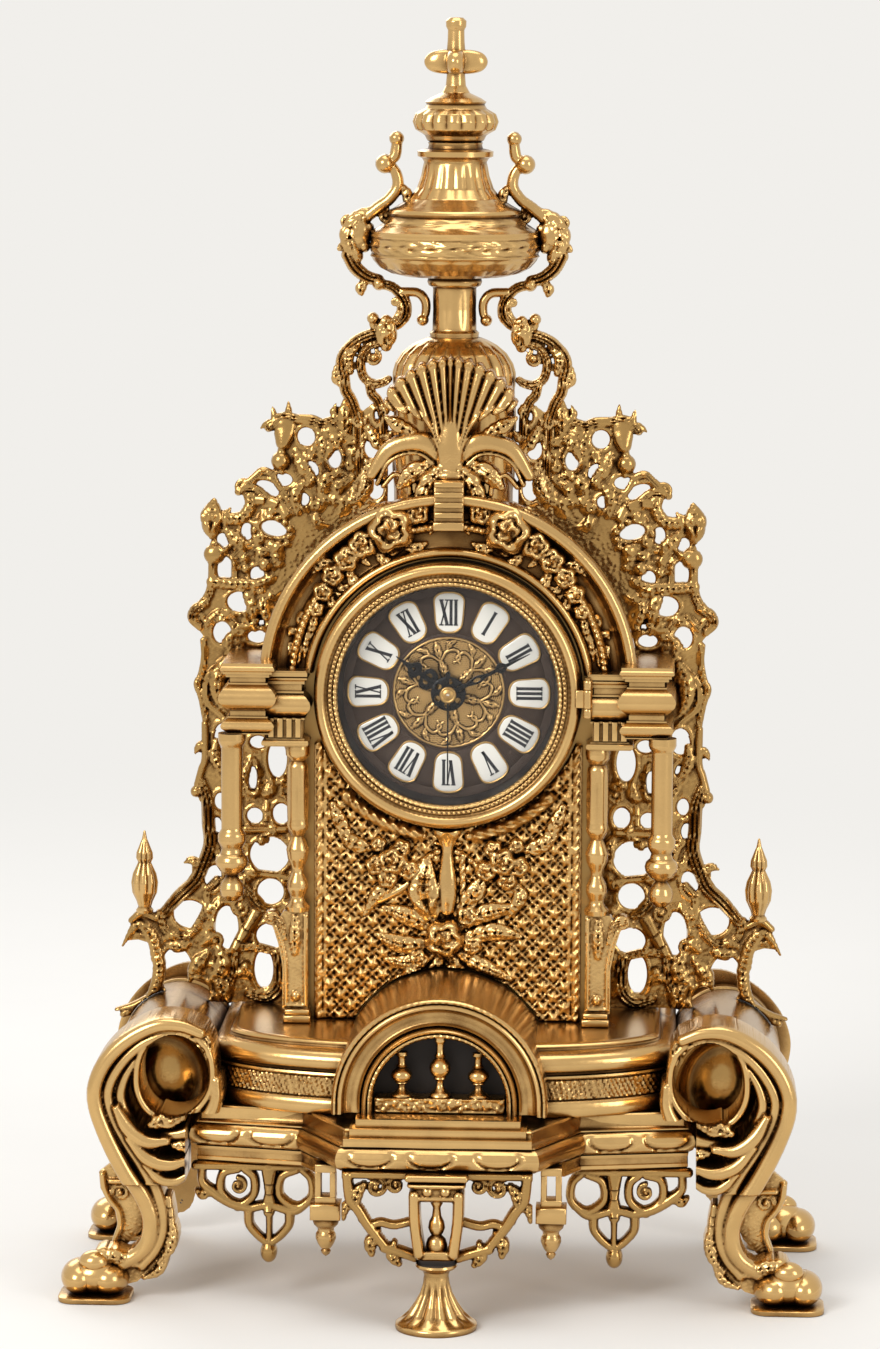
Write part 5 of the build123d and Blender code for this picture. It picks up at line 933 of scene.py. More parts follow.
arch = besideBezel(dialRing(archForm["rim"], archZ, 260, 3.5, 173, archRope), archForm)
makePiece("archPiece", arch, brass, "arch_frame")

garlandForm = {
    "front": 12.2, "back": 14.0, "step": 0.5,
    "strokes": strokes("""
    round 3 5 5 4 3 | -14 339 -24 331 -34 325.6 -45 316 -56 300 | 0.4
    leaf 3 7 2 | -20 336 -13 341 -7 342.5 | 1
    leaf 3 7 2 | -28 338 -33 340 -39 338.5 | 0.8
    leaf 3 6 2 | -31 320 -27.5 316.5 -22.5 316 | 0.8
    leaf 3 6 2 | -20 324 -15 322.6 -10 325 | 0.8
    leaf 3 6 2 | -38 326 -43.4 328.6 -48 327 | 0.8
    leaf 3 6 2 | -44 313 -41 308 -36 306 | 0.8
    leaf 3 6 2 | -50 316 -55.4 315.6 -59 311.6 | 0.8
    leaf 3 5 2 | -52 303 -50.4 297.6 -47.6 294 | 0.8
    leaf 3 5.4 1.6 | -56 301 -60 296.4 -62.4 290 | 0.8
    leaf 2 5 1.6 | -57 297 -59 289 -60 282 | 0.5
    leaf 2 4 1.6 | -60.6 288 -62 280 -62.6 274 | 0.3"""),
    "bosses": table(5, """-60.6 292 2 2 0.9 -61.4 284 1.8 1.8 0.9 -36 333 2 2 1 -16 330.5 2 2 1
    -12 335 2.4 2.4 1"""),
    "lumps": table(3, """-25.4 331.4 11.6 -37.4 324.6 7.4 -44.4 318 6.6 -50.4 310.8 5.6 -54.6 303.4 5
    -57.6 296 4.2 -13.6 338.6 6.4""")}


def inBand(x, z):
    return 61 < math.hypot(x, z - archZ) < 70


def besideDial(x, z):
    return np.minimum(outsideOf(dialZ, 59.2)(x, z), 83 - np.hypot(x, z - archZ))


garland = pierced(garlandForm, [(11, 150, (-70, -8), (268, 338), 5, inBand)], besideDial)
makePiece("garlandsPiece", bothSides(garland), brassChased, "garlands")
print("body mouldings made")

# Front panel: trellis of crossed ribs with a rosette in each mesh, rope edges, and the bouquet on it
trellis = {"half": 58.3, "low": 115.0, "high": 237.0, "mesh": 6.6, "front": 12.2, "back": 16.0, "step": 0.62}


# What the panel leaves free: the niche below and the bezel above
def panelKeep(x, z):
    return np.minimum(outsideOf(92.5, 46.4)(x, z), outsideOf(dialZ, 59.3)(x, z))


# u and v run along the two ways of the ribs; a rosette's edge waves with five petals
def trellisPanel(notes):
    half, low, high = notes["half"], notes["low"], notes["high"]
    relief = Relief(-half - 1, half + 1, low - 1, high + 1, notes["step"])
    relief.plate(np.array([(-half, low), (half, low), (half, high), (-half, high)]), 0.0)
    u, v = (relief.x + relief.z) / notes["mesh"] / 1.414, (relief.x - relief.z) / notes["mesh"] / 1.414
    du, dv = np.abs(u - np.round(u)), np.abs(v - np.round(v))
    ribs = np.exp(-(np.minimum(du, dv) / 0.09) ** 2)
    cu, cv = u - np.floor(u) - 0.5, v - np.floor(v) - 0.5
    r, a = np.hypot(cu, cv), np.arctan2(cv, cu)
    petals = np.clip(1 - (r / (0.42 + 0.07 * np.cos(5 * a + 3 * np.floor(u)))) ** 2, 0, 1) ** 0.5
    heart = np.exp(-(r / 0.1) ** 2)
    knots = np.exp(-((du ** 2 + dv ** 2) / 0.02))
    relief.height = np.maximum(1.2 * ribs + 0.9 * knots, 2.1 * petals + 0.5 * heart)
    for side in (-1, 1):
        for kind, width, x, lift in (("rope", [3.8], 56.3, 0.8), ("round", [1.6], 53.4, 0.6)):
            relief.stroke(kind, width, [(side * x, low + 1), (side * x, 176), (side * x, high - 1)], lift)
        arc = np.radians(np.linspace(270 - side * 11, 270 - side * 44, 12))
        relief.stroke("rope", [4.4], np.column_stack([-63.4 * np.cos(arc), dialZ + 63.4 * np.sin(arc)]), 2.2)
        relief.curl(side * 11.4, 194.6, 3.8, 2.4, 90, side)
    relief.limit(panelKeep(relief.x, relief.z))
    return relief.mesh(notes["front"], notes["back"])


makePiece("trellisPanelPiece", trellisPanel(trellis), brassGround, "front_panel")

bouquet = {
    "front": 11.6, "back": 13.6, "step": 0.55,
    "strokes": strokes("""
    round 13 9 5.4 6.4 8.6 9 7 | 0 200 0 196.4 0 191 0 185 0 178 0 171 0 165 | 1.6 0.8
    round 2 | -5.4 194 0 193.4 5.4 194 | 2.2
    leaf 5 15 12 4 | -6 160 -9.4 169 -10 177 -8.6 186 | 1
    rope 3.6 | 6.6 166 6.6 176 6.4 187 | 1
    leaf 6 9 3 | 6 158 17 163.4 31 166 | 0.8
    leaf 6 9 3 | 8 152 20 155 32 153 | 0.6
    leaf 6 9 3 | 5 163 12 172 16 180 | 0.6
    leaf 6 9 3 | -8 157 -17 161.4 -28 165 | 0.8
    leaf 6 9 3 | -9 149 -20 149 -31 153 | 0.6
    leaf 5 8 3 | -6 145 -16 141 -27 142 | 0.6
    leaf 5 8 3 | 6 145 15 140 28 134 | 0.8
    leaf 5 8 3 | 2 143 8 134 19 129 | 0.6
    leaf 5 7 3 | -3 143 -8 133 -10 126 | 0.6
    leaf 4 7 3 | -12 137 -21 132 -27 127 | 0.6
    round 3 4 4 3 | -13 180 -19 174 -26 170 -34 166 | 0.6
    leaf 3 7 3 | -20 175 -29 172 -36 162 | 0.5
    leaf 3 7 3 | 26 178 32 171 26 161 | 0.5
    twin leaf 3 8 4 | -32 191 -40 193 -47 198 | 0.5
    twin leaf 3 7 4 | -42 194 -47 203 -50 210 | 0.5
    twin bead 3.4 | -14 183 -9 187 -4 190 | 0.6"""), "bosses": table(5, "-11 197 2.4 2.4 1 9.5 197 2.4 2.4 1"),
    "lumps": table(3, """-1 152 9.8 -1 152 6.2 9 162 5.6 -15 135 5.6 -5 130.5 4.8 3 136 5.6 -12 142.6 5
    11 149 5 -24 186 7.2 -17 182 5.4 -31 184 5.4 -26 178 5.2 -20 191.6 4.6 24 186 7.2 17 182 5.4 31 184 5.4
    26 178 5.2 20 191.6 4.6 -30 193 4 30 193 4""")}
makePiece("bouquetPiece", pierced(bouquet, keepOut=panelKeep), brassChased, "panel_bouquet")
print("front panel made")

# Closed section carried along an open path in plan, ends capped; the section is out from the path, and height
def swept(plan, profile, spacing=1.2, ripple=None, sections=0.8):
    plan, p = np.asarray(plan, float), np.asarray(profile, float)
    step = np.diff(plan, axis=0)
    normals = (step / np.hypot(*step.T)[:, None])[:, ::-1] * (1, -1)
    n0, n1 = np.vstack([normals[:1], normals]), np.vstack([normals, normals[-1:]])
    mitre = (n0 + n1) / (1 + (n0 * n1).sum(1, keepdims=True))
    fine = refined(np.hstack([plan, mitre]), spacing)
    path, way = fine[:, :2], fine[:, 2:]
    if not ripple:
        return carried(path, way, p[:, 0] + 0 * path[:, :1], p[:, 1], False)
    p = refined(p, sections, closed=True)
    return carried(path, way, p[:, 0] + ripple(path[:, :1], path[:, 1:], p[:, 1], p[:, 0]), p[:, 1], False)


# Flat slab over a plan between two heights
def slab(plan, z0, z1):
    n, k = len(plan), np.arange(len(plan))
    pts = np.vstack([np.column_stack([plan, np.full(n, z)]) for z in (z0, z1)])
    return [(pts, np.stack([k, (k + 1) % n, (k + 1) % n + n, k + n], 1)), caps(pts, k[::-1], k + n)]


plinthForm = {
    "half": 109.0, "platform": 43.0, "front": -74.0, "bay": -30.0, "back": 80.0, "slant": 19,
    "bowHalf": 98.0, "bowDepth": 38.0, "bowCentre": -6.0, "lensZ": 73.2, "lensHalf": (9.4, 4.6),
    "lenses": [(-98, -30), (-74, -30), (74, -30), (98, -30), (-29, -74), (-3, -74), (26, -74)]}


def plinthPath(notes):
    h, p, f, b, y, s = (notes[k] for k in ("half", "platform", "front", "bay", "back", "slant"))
    return [(-h, y), (-h, b), (-p - s, b - 9), (-p, f + 1), (0, f), (p, f + 1), (p + s, b - 9), (h, b), (h, y)]


def bowPath(notes, grow=0.0, count=72):
    angle = np.linspace(math.pi, tau, count)
    rx, ry = notes["bowHalf"] + grow, notes["bowDepth"] + grow
    arc = np.column_stack([rx * np.cos(angle), notes["bowCentre"] + ry * np.sin(angle)])
    return np.vstack([[(-rx, notes["back"])], arc, [(rx, notes["back"])]])


# Crescent grooves in the rounded moulding: each follows the lower half of an oval
def lensCuts(x, y, z, out):
    cut = np.zeros(np.broadcast(x, z).shape)
    for middle, front in plinthForm["lenses"]:
        u, v = (x - middle) / plinthForm["lensHalf"][0], (z - plinthForm["lensZ"]) / plinthForm["lensHalf"][1]
        ring = np.exp(-((np.hypot(u, v) - 1) / 0.13) ** 2) * np.clip(0.6 - v, 0, 1)
        cut = cut + np.where((np.abs(y - front) < 12) & (out > -5), 1.3 * ring, 0)
    return -cut


lowerBelts = pairs("""-9 66 -6 66.4 -3.4 66.6 -2.6 67.2 -0.9 68.4 0 70.4 0.2 72.2 -0.6 74.4 -2.2 76
    -3.4 76.6 -3 77 -3.1 77.5 -4.6 78 -5.6 79 -6 80.4 -6.2 82.6 -5.8 83.4 -6.4 84 -9 84""")
lower = swept(plinthPath(plinthForm), lowerBelts, 0.8, lensCuts, 0.7)
fascia = pairs("-9 60 -3.6 60 -3 60.6 -3 62 -3.4 62.4 -3.4 65 -3 65.6 -2.8 66.6 -9 66.6")
run = pairs("-109 80 -109 -30 -62 -39 -56.4 -49")
lower += swept(run, fascia) + swept((run * (-1, 1))[::-1], fascia)
lower += slab(pairs("-104 75 -104 -26 -60 -33 -40 -66 40 -66 60 -33 104 -26 104 75"), 66.8, 83.4)
lower += softBlock(-105, 105, 73, 79.4, 60, 84, 0.5)
for level in range(3):  # steps under the niche
    inset, z0 = 3 + 2.5 * level, 77 + 3.667 * level
    lower += softBlock(-43 + inset, 43 - inset, -74 + inset, -36, z0, z0 + 3.7, 0.5)
makePiece("plinthLowerPiece", lower, brassSmooth, "base_plinth", weld=True, sharpAngle=38)


# Band of fine slanting lines on the bow, pushed in behind the niche
def bowWork(x, y, z, out):
    hatch = 0.34 * np.cos(tau * (x + 0.5 * z) / 1.9) + 0.2 * np.cos(tau * (x - 0.9 * z) / 2.6)
    band = (z > 91.2) & (z < 99.8) & (out > -2)
    behind = (np.abs(x) < np.sqrt(np.clip(44.6 ** 2 - (z - 92.5) ** 2, 0, None))) & (y < 0) & (out > -8)
    return np.where(band, hatch, 0) - np.where(behind, 9.0, 0)


bowBelts = pairs("""-14 83.6 0.3 83.6 1.1 84.6 1.5 86.2 1.5 87.8 1.1 89.4 0.3 90.6 -0.6 91 -0.6 91.2 0 91.6
    0 99.6 -0.4 100 0.4 100.3 0.9 101 0.5 101.8 -0.9 102.2 -1 102.9 0.6 103.4 1.8 104.4 2.4 105.8 2.4 107.4
    1.8 109 0.6 110.3 -1 111.3 -3 112 -4.6 112.3 -5 112.9 -4.9 113.6 -5.6 114.4 -7 114.9 -8 115 -14 115""")
bow = swept(bowPath(plinthForm), bowBelts, 0.7, bowWork, 0.8)
bow += slab(bowPath(plinthForm, -12, 40), 109, 114.99)
makePiece("plinthBowPiece", bow, brassSmooth, "base_plinth", weld=True, sharpAngle=38)

drumForm = {
    "x": 122.0, "z": 91.0, "rx": 25.0, "rz": 29.0,
    "profile": pairs("""0 80 23 80 24.4 79.2 25 77 25 70 24 69 24 66 25 65 25 -8 24 -9 24 -12 25 -13
    25 -16.6 24.2 -17.8 22 -18 20.6 -15 19.4 -10 17 -6.4 14.6 -6 12 -7.4 8 -9.2 4 -10 0 -10.2""")}
stretch = (1, 1, drumForm["rz"] / drumForm["rx"])
drums = [(p * stretch + (side * drumForm["x"], 0, drumForm["z"]), f) for side in (-1, 1)
         for p, f in dialRing(drumForm["profile"], 0, 96, closed=False, spacing=1.6)]
# the drums' recesses take the darker brass as painted shade
makePiece("drumsPiece", drums, brassShadedCopy, "base_plinth", weld=True)
print("plinth made")


# Half-round moulding with upright ends below its centre; same profile order as dialRing
def archBand(profile, centreZ, drop, ripple, segments=150, spacing=0.5):
    p = refined(profile, spacing, closed=True)
    angle = np.linspace(0, math.pi, segments)
    c, s, low, turn = (np.concatenate([[a], b, [d]])[:, None] for a, b, d in (
        (1, np.cos(angle), -1), (0, np.sin(angle), 0), (-drop, 0 * angle, -drop), (0, angle, math.pi)))
    r, depth = p[:, 0], p[:, 1] + ripple(turn, p[:, 0])
    pts = np.stack([c * r, depth, centreZ + s * r + low], -1).reshape(-1, 3)
    k = np.arange(len(p))
    return [(pts, gridFaces(len(c), len(p), closeV=True)), caps(pts, k, (k + (len(c) - 1) * len(p))[::-1])]


# Fine beading on the rim's outer roll and on its inner one
def nicheRipple(turn, r):
    return (np.where(r > 44, -0.2 * np.cos(90 * turn), 0)
            + np.where(np.abs(r - 29.7) < 1, -0.2 * np.cos(70 * turn), 0))


nicheForm = {
    "centre": 92.5, "drop": 4.5,
    "rim": pairs("""46 -41.9 46 -55.6 45.7 -57 45 -57.9 44.2 -57.6 43.7 -56.7 43.2 -57.3 42.5 -57.7
    41.7 -57.4 41.2 -56.2 40.8 -54.6 39.6 -53.5 37.4 -52.9 35.2 -53.3 34 -54.6 33.6 -53 33.2 -54.8
    32.8 -56.6 32 -57.5 31.2 -57 30.8 -56.2 30.4 -57 29.7 -57.2 29 -56.4 28.5 -55 28.5 -41.9""")}
nicheRim = archBand(nicheForm["rim"], nicheForm["centre"], nicheForm["drop"], nicheRipple)
nicheHood = dialRing(pairs("46 12 46 -43 44 -43.4 42 -43 42 12"), nicheForm["centre"], 90, 0, 180, spacing=3)
makePiece("nicheArchPiece", nicheRim + nicheHood, brassSmooth, "niche_arch", weld=True, sharpAngle=38)

sillForm = {
    "front": -53.6, "back": -43.4, "step": 0.45,
    "outline": pairs("-27.6 88.1 27.6 88.1 27.6 94.6 -27.6 94.6"),
    "strokes": strokes("""
    round 1.2 | -27 88.8 27 88.8
    round 1 | -27 94.1 27 94.1""")}


def sillKeep(x, z):
    return np.minimum(np.minimum(27.8 - np.abs(x), z - 88.02), 94.9 - z)


# balusters, drawn 26.3 mm tall and stretched up to the arch
baluster = {"foot": 94.6, "tall": 26.3, "y": -49, "archRadius": 28.4, "profile": pairs("""0 0 4.4 0 4.8 0.6
    4.4 1.6 3 2.8 1.9 4.2 1.5 5.6 1.6 7 2.8 8 2.6 8.6 3.6 9.6 4.4 11 4.6 12.6 4.2 14.4 3 16 2 17 2.6 17.8
    1.8 18.8 1.5 21 1.7 23 2.6 24.4 2.4 25.4 2.6 26.2 0 26.3""")}
grille = pierced(sillForm, [(7, 60, (-26, 26), (89.6, 93.6), 2.2)], sillKeep)
for x in (-16.3, 0, 16.3):
    top = nicheForm["centre"] + math.sqrt(baluster["archRadius"] ** 2 - (abs(x) + 2.4) ** 2)
    rise = (top - baluster["foot"]) / baluster["tall"]
    grille += turned(baluster["profile"] * (1, rise) + (0, baluster["foot"]), x, baluster["y"], 32,
                     spacing=0.7)
makePiece("grillePiece", grille, brassSmooth, "niche_grille", weld=True)
print("niche made")


# Ball stretched to three half sizes
def ovoid(centre, sizes, rings, sides):
    (pts, side), ends = beads([(0, 0, 0)], 1.0, rings, sides)
    return [(pts * sizes + centre, side), ends]


# The shoulder and the shank share one set of ridges, so that they run through in an S
legRidges = strokes("""
    round 5 6.6 7 7 8 8.4 8 6.4 | 103 119 111 122 120.6 122.2 130 118.4 138.6 112 145 103.8 148.4 94.6
    148 86.4 145 77.4 140.6 67.6 135 57 128.6 46.6 125 37 125.4 28.4 129.4 21.4 137 16.4 | 0.8
    round 3 4.6 5 5.4 6 5 | 106 116 113 117.6 120 117.2 127.6 114 134.6 108 140 100.6 142.8 93.4
    142.4 87 139.4 78.8 134.6 70.2 128.6 61 123.4 51 120.6 41 120.2 31 123.4 22.4 129 15.4 | 0.2
    round 3 4.4 4.6 4.4 3.4 | 131 106.4 135.2 99.6 137.4 92.6 136.8 87 133.6 79.8 129 73.4 123 66
    119.8 57 | -0.4""")
legForm = {
    "front": -41.2, "back": -18.2, "step": 0.5, "hole": (114.4, 100.6, 14.6, 17.2),
    "strokes": legRidges + strokes("""
    round 3.2 | 107.4 118.6 116 120 123.4 116.8 128.6 110 130.6 101 129.8 92 125.4 84.6 118.6 81.4
    110.4 82.2 103.4 86.6 98.8 94 97.8 102.4 99.6 111 104.4 117 | 0.2
    round 4.4 6 7 6 4.4 | 96.4 98 96.8 89 101 81 109 75.6 118 74 | 0.2
    round 3.4 6.4 6.6 4 | 139 86 134 77.6 126.4 72 117.4 72 | 3.6
    round 3.4 6 6 3.6 | 133.4 73 125.6 64.6 116.6 62 108.6 64 | 4.4
    round 3 5 4.6 3 | 126.6 61.6 120 55.4 113.4 54.8 108 58 | 3.4
    leaf 4 9 5 | 124 79 116.6 82 108 86 | 2.4
    leaf 4 7 3 | 114 70 107 70 101 75 | 1.6"""),
    "bosses": table(5, "108 60.6 3 3 1.3"), "curls": table(6, "104.8 112.4 6.4 3.6 90 1")}
shankForm = {
    "front": -38.6, "back": -27.6, "step": 0.5,
    "outline": pairs("""141.4 66 136.4 55 130.6 46 127.4 37 128 29.6 132.4 23.4 140 18.4 143 12 138 6 131 8
    124.6 14 119.6 21.6 117.6 30 118.4 40 121 50 120.6 66"""),
    "strokes": legRidges + strokes("""
    husk 3.4 | 117.6 45 116.4 38 116.2 31 118 24 | 0.6
    leaf 2 4.6 4.4 1.8 | 122 16.4 117 22.4 115.2 30 117 38 | 0.6
    leaf 2 4.4 2 | 128 9.6 121.6 13 117.6 20 | 0.6
    leaf 3 7 6 3 | 131 16 138 19 145.6 19.4 152 15.6 | 1.6"""),
    "bosses": table(5, "145.6 18.8 4.6 4.6 1")}
webForm = {
    "front": -23.4, "back": -20.2, "step": 0.5,
    "outline": pairs("""133 62 143 58 149 53 148.4 46 146 41 142 36 141 30 143.4 23 138 20 130 28 127 36
    131 46"""),
    "strokes": strokes("""
    round 2.6 | 147.4 52 146.6 46 144.4 41 140.6 36 139.8 30 142 23 | 0.6
    round 2.4 | 144 49 137 48.6 131 45 | 0.4"""), "curls": table(6, "139.6 44 3.8 2.4 0 1")}


# Rectangle with rounded corners, anticlockwise
def roundedPlan(x, y, halfX, halfY, radius, count=7):
    halfX, halfY = halfX - radius, halfY - radius
    return [(x + sx * halfX + radius * math.cos(a), y + sy * halfY + radius * math.sin(a))
            for start, sx, sy in ((-90, 1, -1), (0, 1, 1), (90, -1, 1), (180, -1, -1))
            for a in np.radians(np.linspace(start, start + 90, count))]


# Pad with two toes that run into the instep, and the ankle; way is 1 towards the front
def pawParts(front, back, way=1):
    tip, half = front if way > 0 else back, (back - front) / 2
    span = tip + way * half
    pad = roundedPlan(149.3, (front + back) / 2, 15.75 - 0.5, half - 0.5, 7.0)
    return (moulded(pad, pairs("0 0 0.5 0.3 0.5 2.1 0 2.5"))
            + ovoid((156.2, span + way * 0.5, 9.4), (8.2, 12.8, 7.6), 16, 28)
            + ovoid((143.4, span + way * 0.5, 9.4), (9.2, 12.8, 7.6), 16, 28)
            + ovoid((149, span - way * 0.4, 10.6), (12.4, 10.8, 8.4), 16, 32)
            + ovoid((149.4, tip + way * 9, 17), (6.8, 6, 5), 12, 24))


# The shoulder stops at the drum, at its own opening, at the plinth's end and above the shank
def legKeep(x, z):
    hx, hz, rx, rz = legForm["hole"]
    drum = np.where((x < 109.4) & (z < 84.4), -1.0, 9.0)
    opening = (np.hypot((x - hx) / rx, (z - hz) / rz) - 1) * rx
    return np.minimum(np.minimum(drum, opening), np.minimum(152 - x, z - 52))


def shankKeep(x, z):
    return 66 - z


# Sinks the lower shank back under the shoulder, evenly between two heights
def settled(parts, depth):
    return [(p + np.outer(np.clip((64 - p[:, 2]) / 22, 0, 1), (0, depth, 0)), f) for p, f in parts]


leg = pierced(legForm, keepOut=legKeep) + settled(pierced(shankForm, keepOut=shankKeep), 2.4)
leg += pierced(webForm) + pawParts(-47, -20)
makePiece("frontLegRightPiece", leg, brassSmooth, "front_leg_right")
makePiece("frontLegLeftPiece", mirrored(leg), brassSmooth, "front_leg_left")


# The same casting turned to face the back
def turnedBack(notes, front, back, keepOut=None):
    parts = pierced(dict(notes, front=front, back=back), keepOut=keepOut)
    return [(p * (1, -1, 1) + (0, 45.4, 0), f[:, ::-1]) for p, f in parts]


rear = turnedBack(legForm, -37.4, -34.8, lambda x, z: z - 52) + turnedBack(shankForm, -37.4, -34.8, shankKeep)
rear += turnedBack(webForm, -40.8, -35.2) + pawParts(63.6, 90.4, -1)
makePiece("rearLegsPiece", bothSides(rear), brassSmooth, "rear_legs")
print("legs made")

bracketForm = {
    "front": -77.4, "back": -67.4, "step": 0.5,
    "strokes": strokes("""
    flat 3 | -12 65.4 12 65.4 | 1.2 0.4
    round 2 | -11.4 62.4 11.4 62.4 | 1
    flat 8 | -6 59.4 6 59.4 | 0 0.2
    round 1.6 | -11 57 11 57 | 0.8
    twin round 4.8 | -9.4 58 -9 46 -7.2 33 | 0.2
    flat 4 | -6.6 32 6.6 32 | 0.6 0.3"""), "bosses": table(5, "-3.8 59.8 2.4 2.2 1 3.8 59.8 2.4 2.2 1")}
bracket = pierced(bracketForm, keepOut=lambda x, z: 66.9 - z)
bracket += turned(pairs("""0 31 2.4 31 4.2 33.4 4.6 36 3.8 38.6 2.2 40.2 3 41.6 3.6 43.4 3.2 46 2 48.4
    1.6 52 2.6 54 2.6 57 0 57"""), 0, -72.6, 32)
makePiece("bracketPiece", bracket, brassSmooth, "foot_bracket", weld=True)

centreApron = {
    "front": -71.2, "back": -68.2, "step": 0.45,
    "strokes": strokes("""
    round 3.4 | 11.7 65.2 39.6 65.2 | 0.2
    round 4.4 5 5 5 4.6 | 38 65 37.2 58 36.2 54 33 50 28.6 43 21.6 34 | 0.4
    round 3.6 | 10.5 45.4 18 43.6 24 44.6 29 43 | 0.2
    round 5 4.6 | 22 34 15 32 9 30 | 0.4
    leaf 3 6 3 | 31 61 34 57 34.4 51 | 0.8
    leaf 3 6 3 | 25 41 28 36 27.6 31 | 0.6
    leaf 3 6 3 | 18 36 18.6 30.6 16 27 | 0.6
    leaf 3 5 2 | 36 53 39.6 50 39.6 46 | 0.4"""),
    "bosses": table(5, "31 46.4 2.6 2.6 1 24.6 37.6 2.4 2.4 1"),
    "curls": table(6, "26 60.2 4.8 3 60 1 17.4 61 3.8 2.6 120 -1")}
centre = pierced(centreApron, keepOut=lambda x, z: np.minimum(66.9 - z, 40.4 - x))
# the aprons take the darker brass as painted shade
makePiece("centreApronsPiece", bothSides(centre), brassShadedCopy, "centre_aprons")

sideApron = {
    "front": -29.2, "back": -26.2, "step": 0.45,
    "strokes": strokes("""
    round 3.8 | 58.4 58 82 58 106.4 58 | 0.4
    round 3.6 4.4 4.8 4.8 4.4 | 103.6 57 103.4 51 99.4 47 94.4 43.6 89.4 41.2 82.4 39.6 | 0.4
    round 4.4 4 4.4 4 | 83 39.6 74.4 41 64 38.8 57.6 43 | 0.4
    round 4.4 4 3.6 | 83.4 38 83 32.6 79.6 28 75.6 24.6 | 0.4
    round 4.4 4 3.6 | 65.6 38 66 32.6 69.4 28 73.4 24.6 | 0.4
    round 4 | 88 57 94.6 54.6 95 46.4 88 41 81.4 45.4 81 53 85 57 | 0.4
    round 4 | 62.6 57 69.2 53.6 69.8 45.4 62.6 40.4 56.2 45 56.2 52.6 60 57 | 0.4
    husk 7 5 4.4 6 5 | 74.5 57 74.4 50 74.4 46 74.4 42 74.6 38 | 1
    round 3.4 2.8 3.4 | 74.5 40 74.5 30 74.5 22 | 0.6
    leaf 3 5 2 | 99 48 103 45.4 106 47 | 0.6"""),
    "bosses": table(5, "74.7 20.4 3.6 4.8 1 88 40.6 2.6 2.6 1 100 46.6 2.4 2.4 1"),
    "curls": table(6, "88 49.2 3.6 2 90 1")}
sides = pierced(sideApron, keepOut=lambda x, z: 59.9 - z)
# the aprons take the darker brass as painted shade
makePiece("sideApronsPiece", bothSides(sides), brassShadedCopy, "side_aprons")

# square box, lid, collar and four posts: x, y, z ranges and the edge taken off
drop = []
for block in table(7, """41.5 54.5 -63.5 -50.5 43 50 0.8 43.5 52.5 -61.5 -52.5 63.4 66.9 0.4
43.6 46.1 -61.4 -58.9 50 63.6 0.3 43.6 46.1 -55.1 -52.6 50 63.6 0.3
49.9 52.4 -61.4 -58.9 50 63.6 0.3 49.9 52.4 -55.1 -52.6 50 63.6 0.3 43.5 52.5 -61.5 -52.5 49.8 53 0.4"""):
    drop += softBlock(*block)
drop += turned(pairs("""0 43.2 5.4 43.2 5.6 41.6 5.2 40.2 3.6 38.6 3.4 37.6 4.3 36 4.4 34.2 3.6 32 2.5 30.2
    1.7 29.4 2.2 28.6 1.6 27.2 0 26"""), 48, -57, 32)
makePiece("pendantsPiece", bothSides(drop), brassSmooth, "pendants", weld=True)
print("aprons made")

# Bezel: beads between two mouldings, reeding on the slope towards the glass; the lugs of the hinge stay
bezelForm = {
    "profile": pairs("""58 13.7 58 2.6 57.8 1.2 57.3 0 56.5 -1 55.4 -1.7 54.3 -1.6 53.4 -0.9 52.9 -0.2
    52.5 0 51.9 0.2 51.5 -0.1 50.2 -0.1 49.9 0.2 49.4 -0.1 48.9 -0.3 48.3 0 47.8 0.6 47.6 0.9 47.6 1.5
    48.6 1.5 48.6 3 49 3 49 13.7"""), "beadRing": 50.85, "beadSize": 0.95, "beadCount": 150, "reeds": 128}


# Reeds on the slope towards the glass
def reeding(angle, r):
    return np.where((r > 46.5) & (r < 49.8), 0.3 * np.cos(bezelForm["reeds"] * angle), 0)


bezel = dialRing(bezelForm["profile"], dialZ, 640, ripple=reeding, spacing=0.8)
around = np.linspace(0, tau, bezelForm["beadCount"], endpoint=False)
ring = bezelForm["beadRing"]
bezel += beads(np.column_stack([ring * np.cos(around), 0 * around - 0.3, dialZ + ring * np.sin(around)]),
               bezelForm["beadSize"])
bezel += knuckle(dialZ - 4, dialZ + 4, 0.2) + softBlock(55.4, 60.4, -3.2, -0.8, dialZ - 3.8, dialZ + 3.8, 0.3)
makePiece("bezelPiece", bezel, brassSmooth, "bezel_ring", body="bezel", weld=True)

# Dark dial disc with fine sunk rings
plate = dialRing(pairs("""58.3 16 58.3 14 48 14 47 13.9 42.6 14 42.4 14.1 42.2 14 26 14 25.8 14.1 25.6 14
    4.2 14 4.2 16"""), dialZ, 180, spacing=3)
makePiece("dialPlatePiece", plate, darkDial, "dial_plate", slot="dark_dial", weld=True)

# Medallion of gilt foliage: scrolls in six repeats with a leaf between each pair, on a matted ground
medallion = {
    "repeats": 6, "gain": 0.85, "outer": 24.4, "bore": 4.3, "start": 0.26, "front": 13.9, "back": 13.99,
    "strokes": strokes("""
    leaf 1.6 3.6 1.4 | 0 6 0.4 10 0 14.4
    twin round 1.2 1.5 1.2 0.8 | 0 14 3.6 17.4 7.8 17 8.4 13.2 5.6 12.2
    leaf 1.2 3.4 1 | 0 15 0 18.6 0 22.4
    twin leaf 1 2.6 1 | 4 18 6 20.4 8.6 21.2""")}


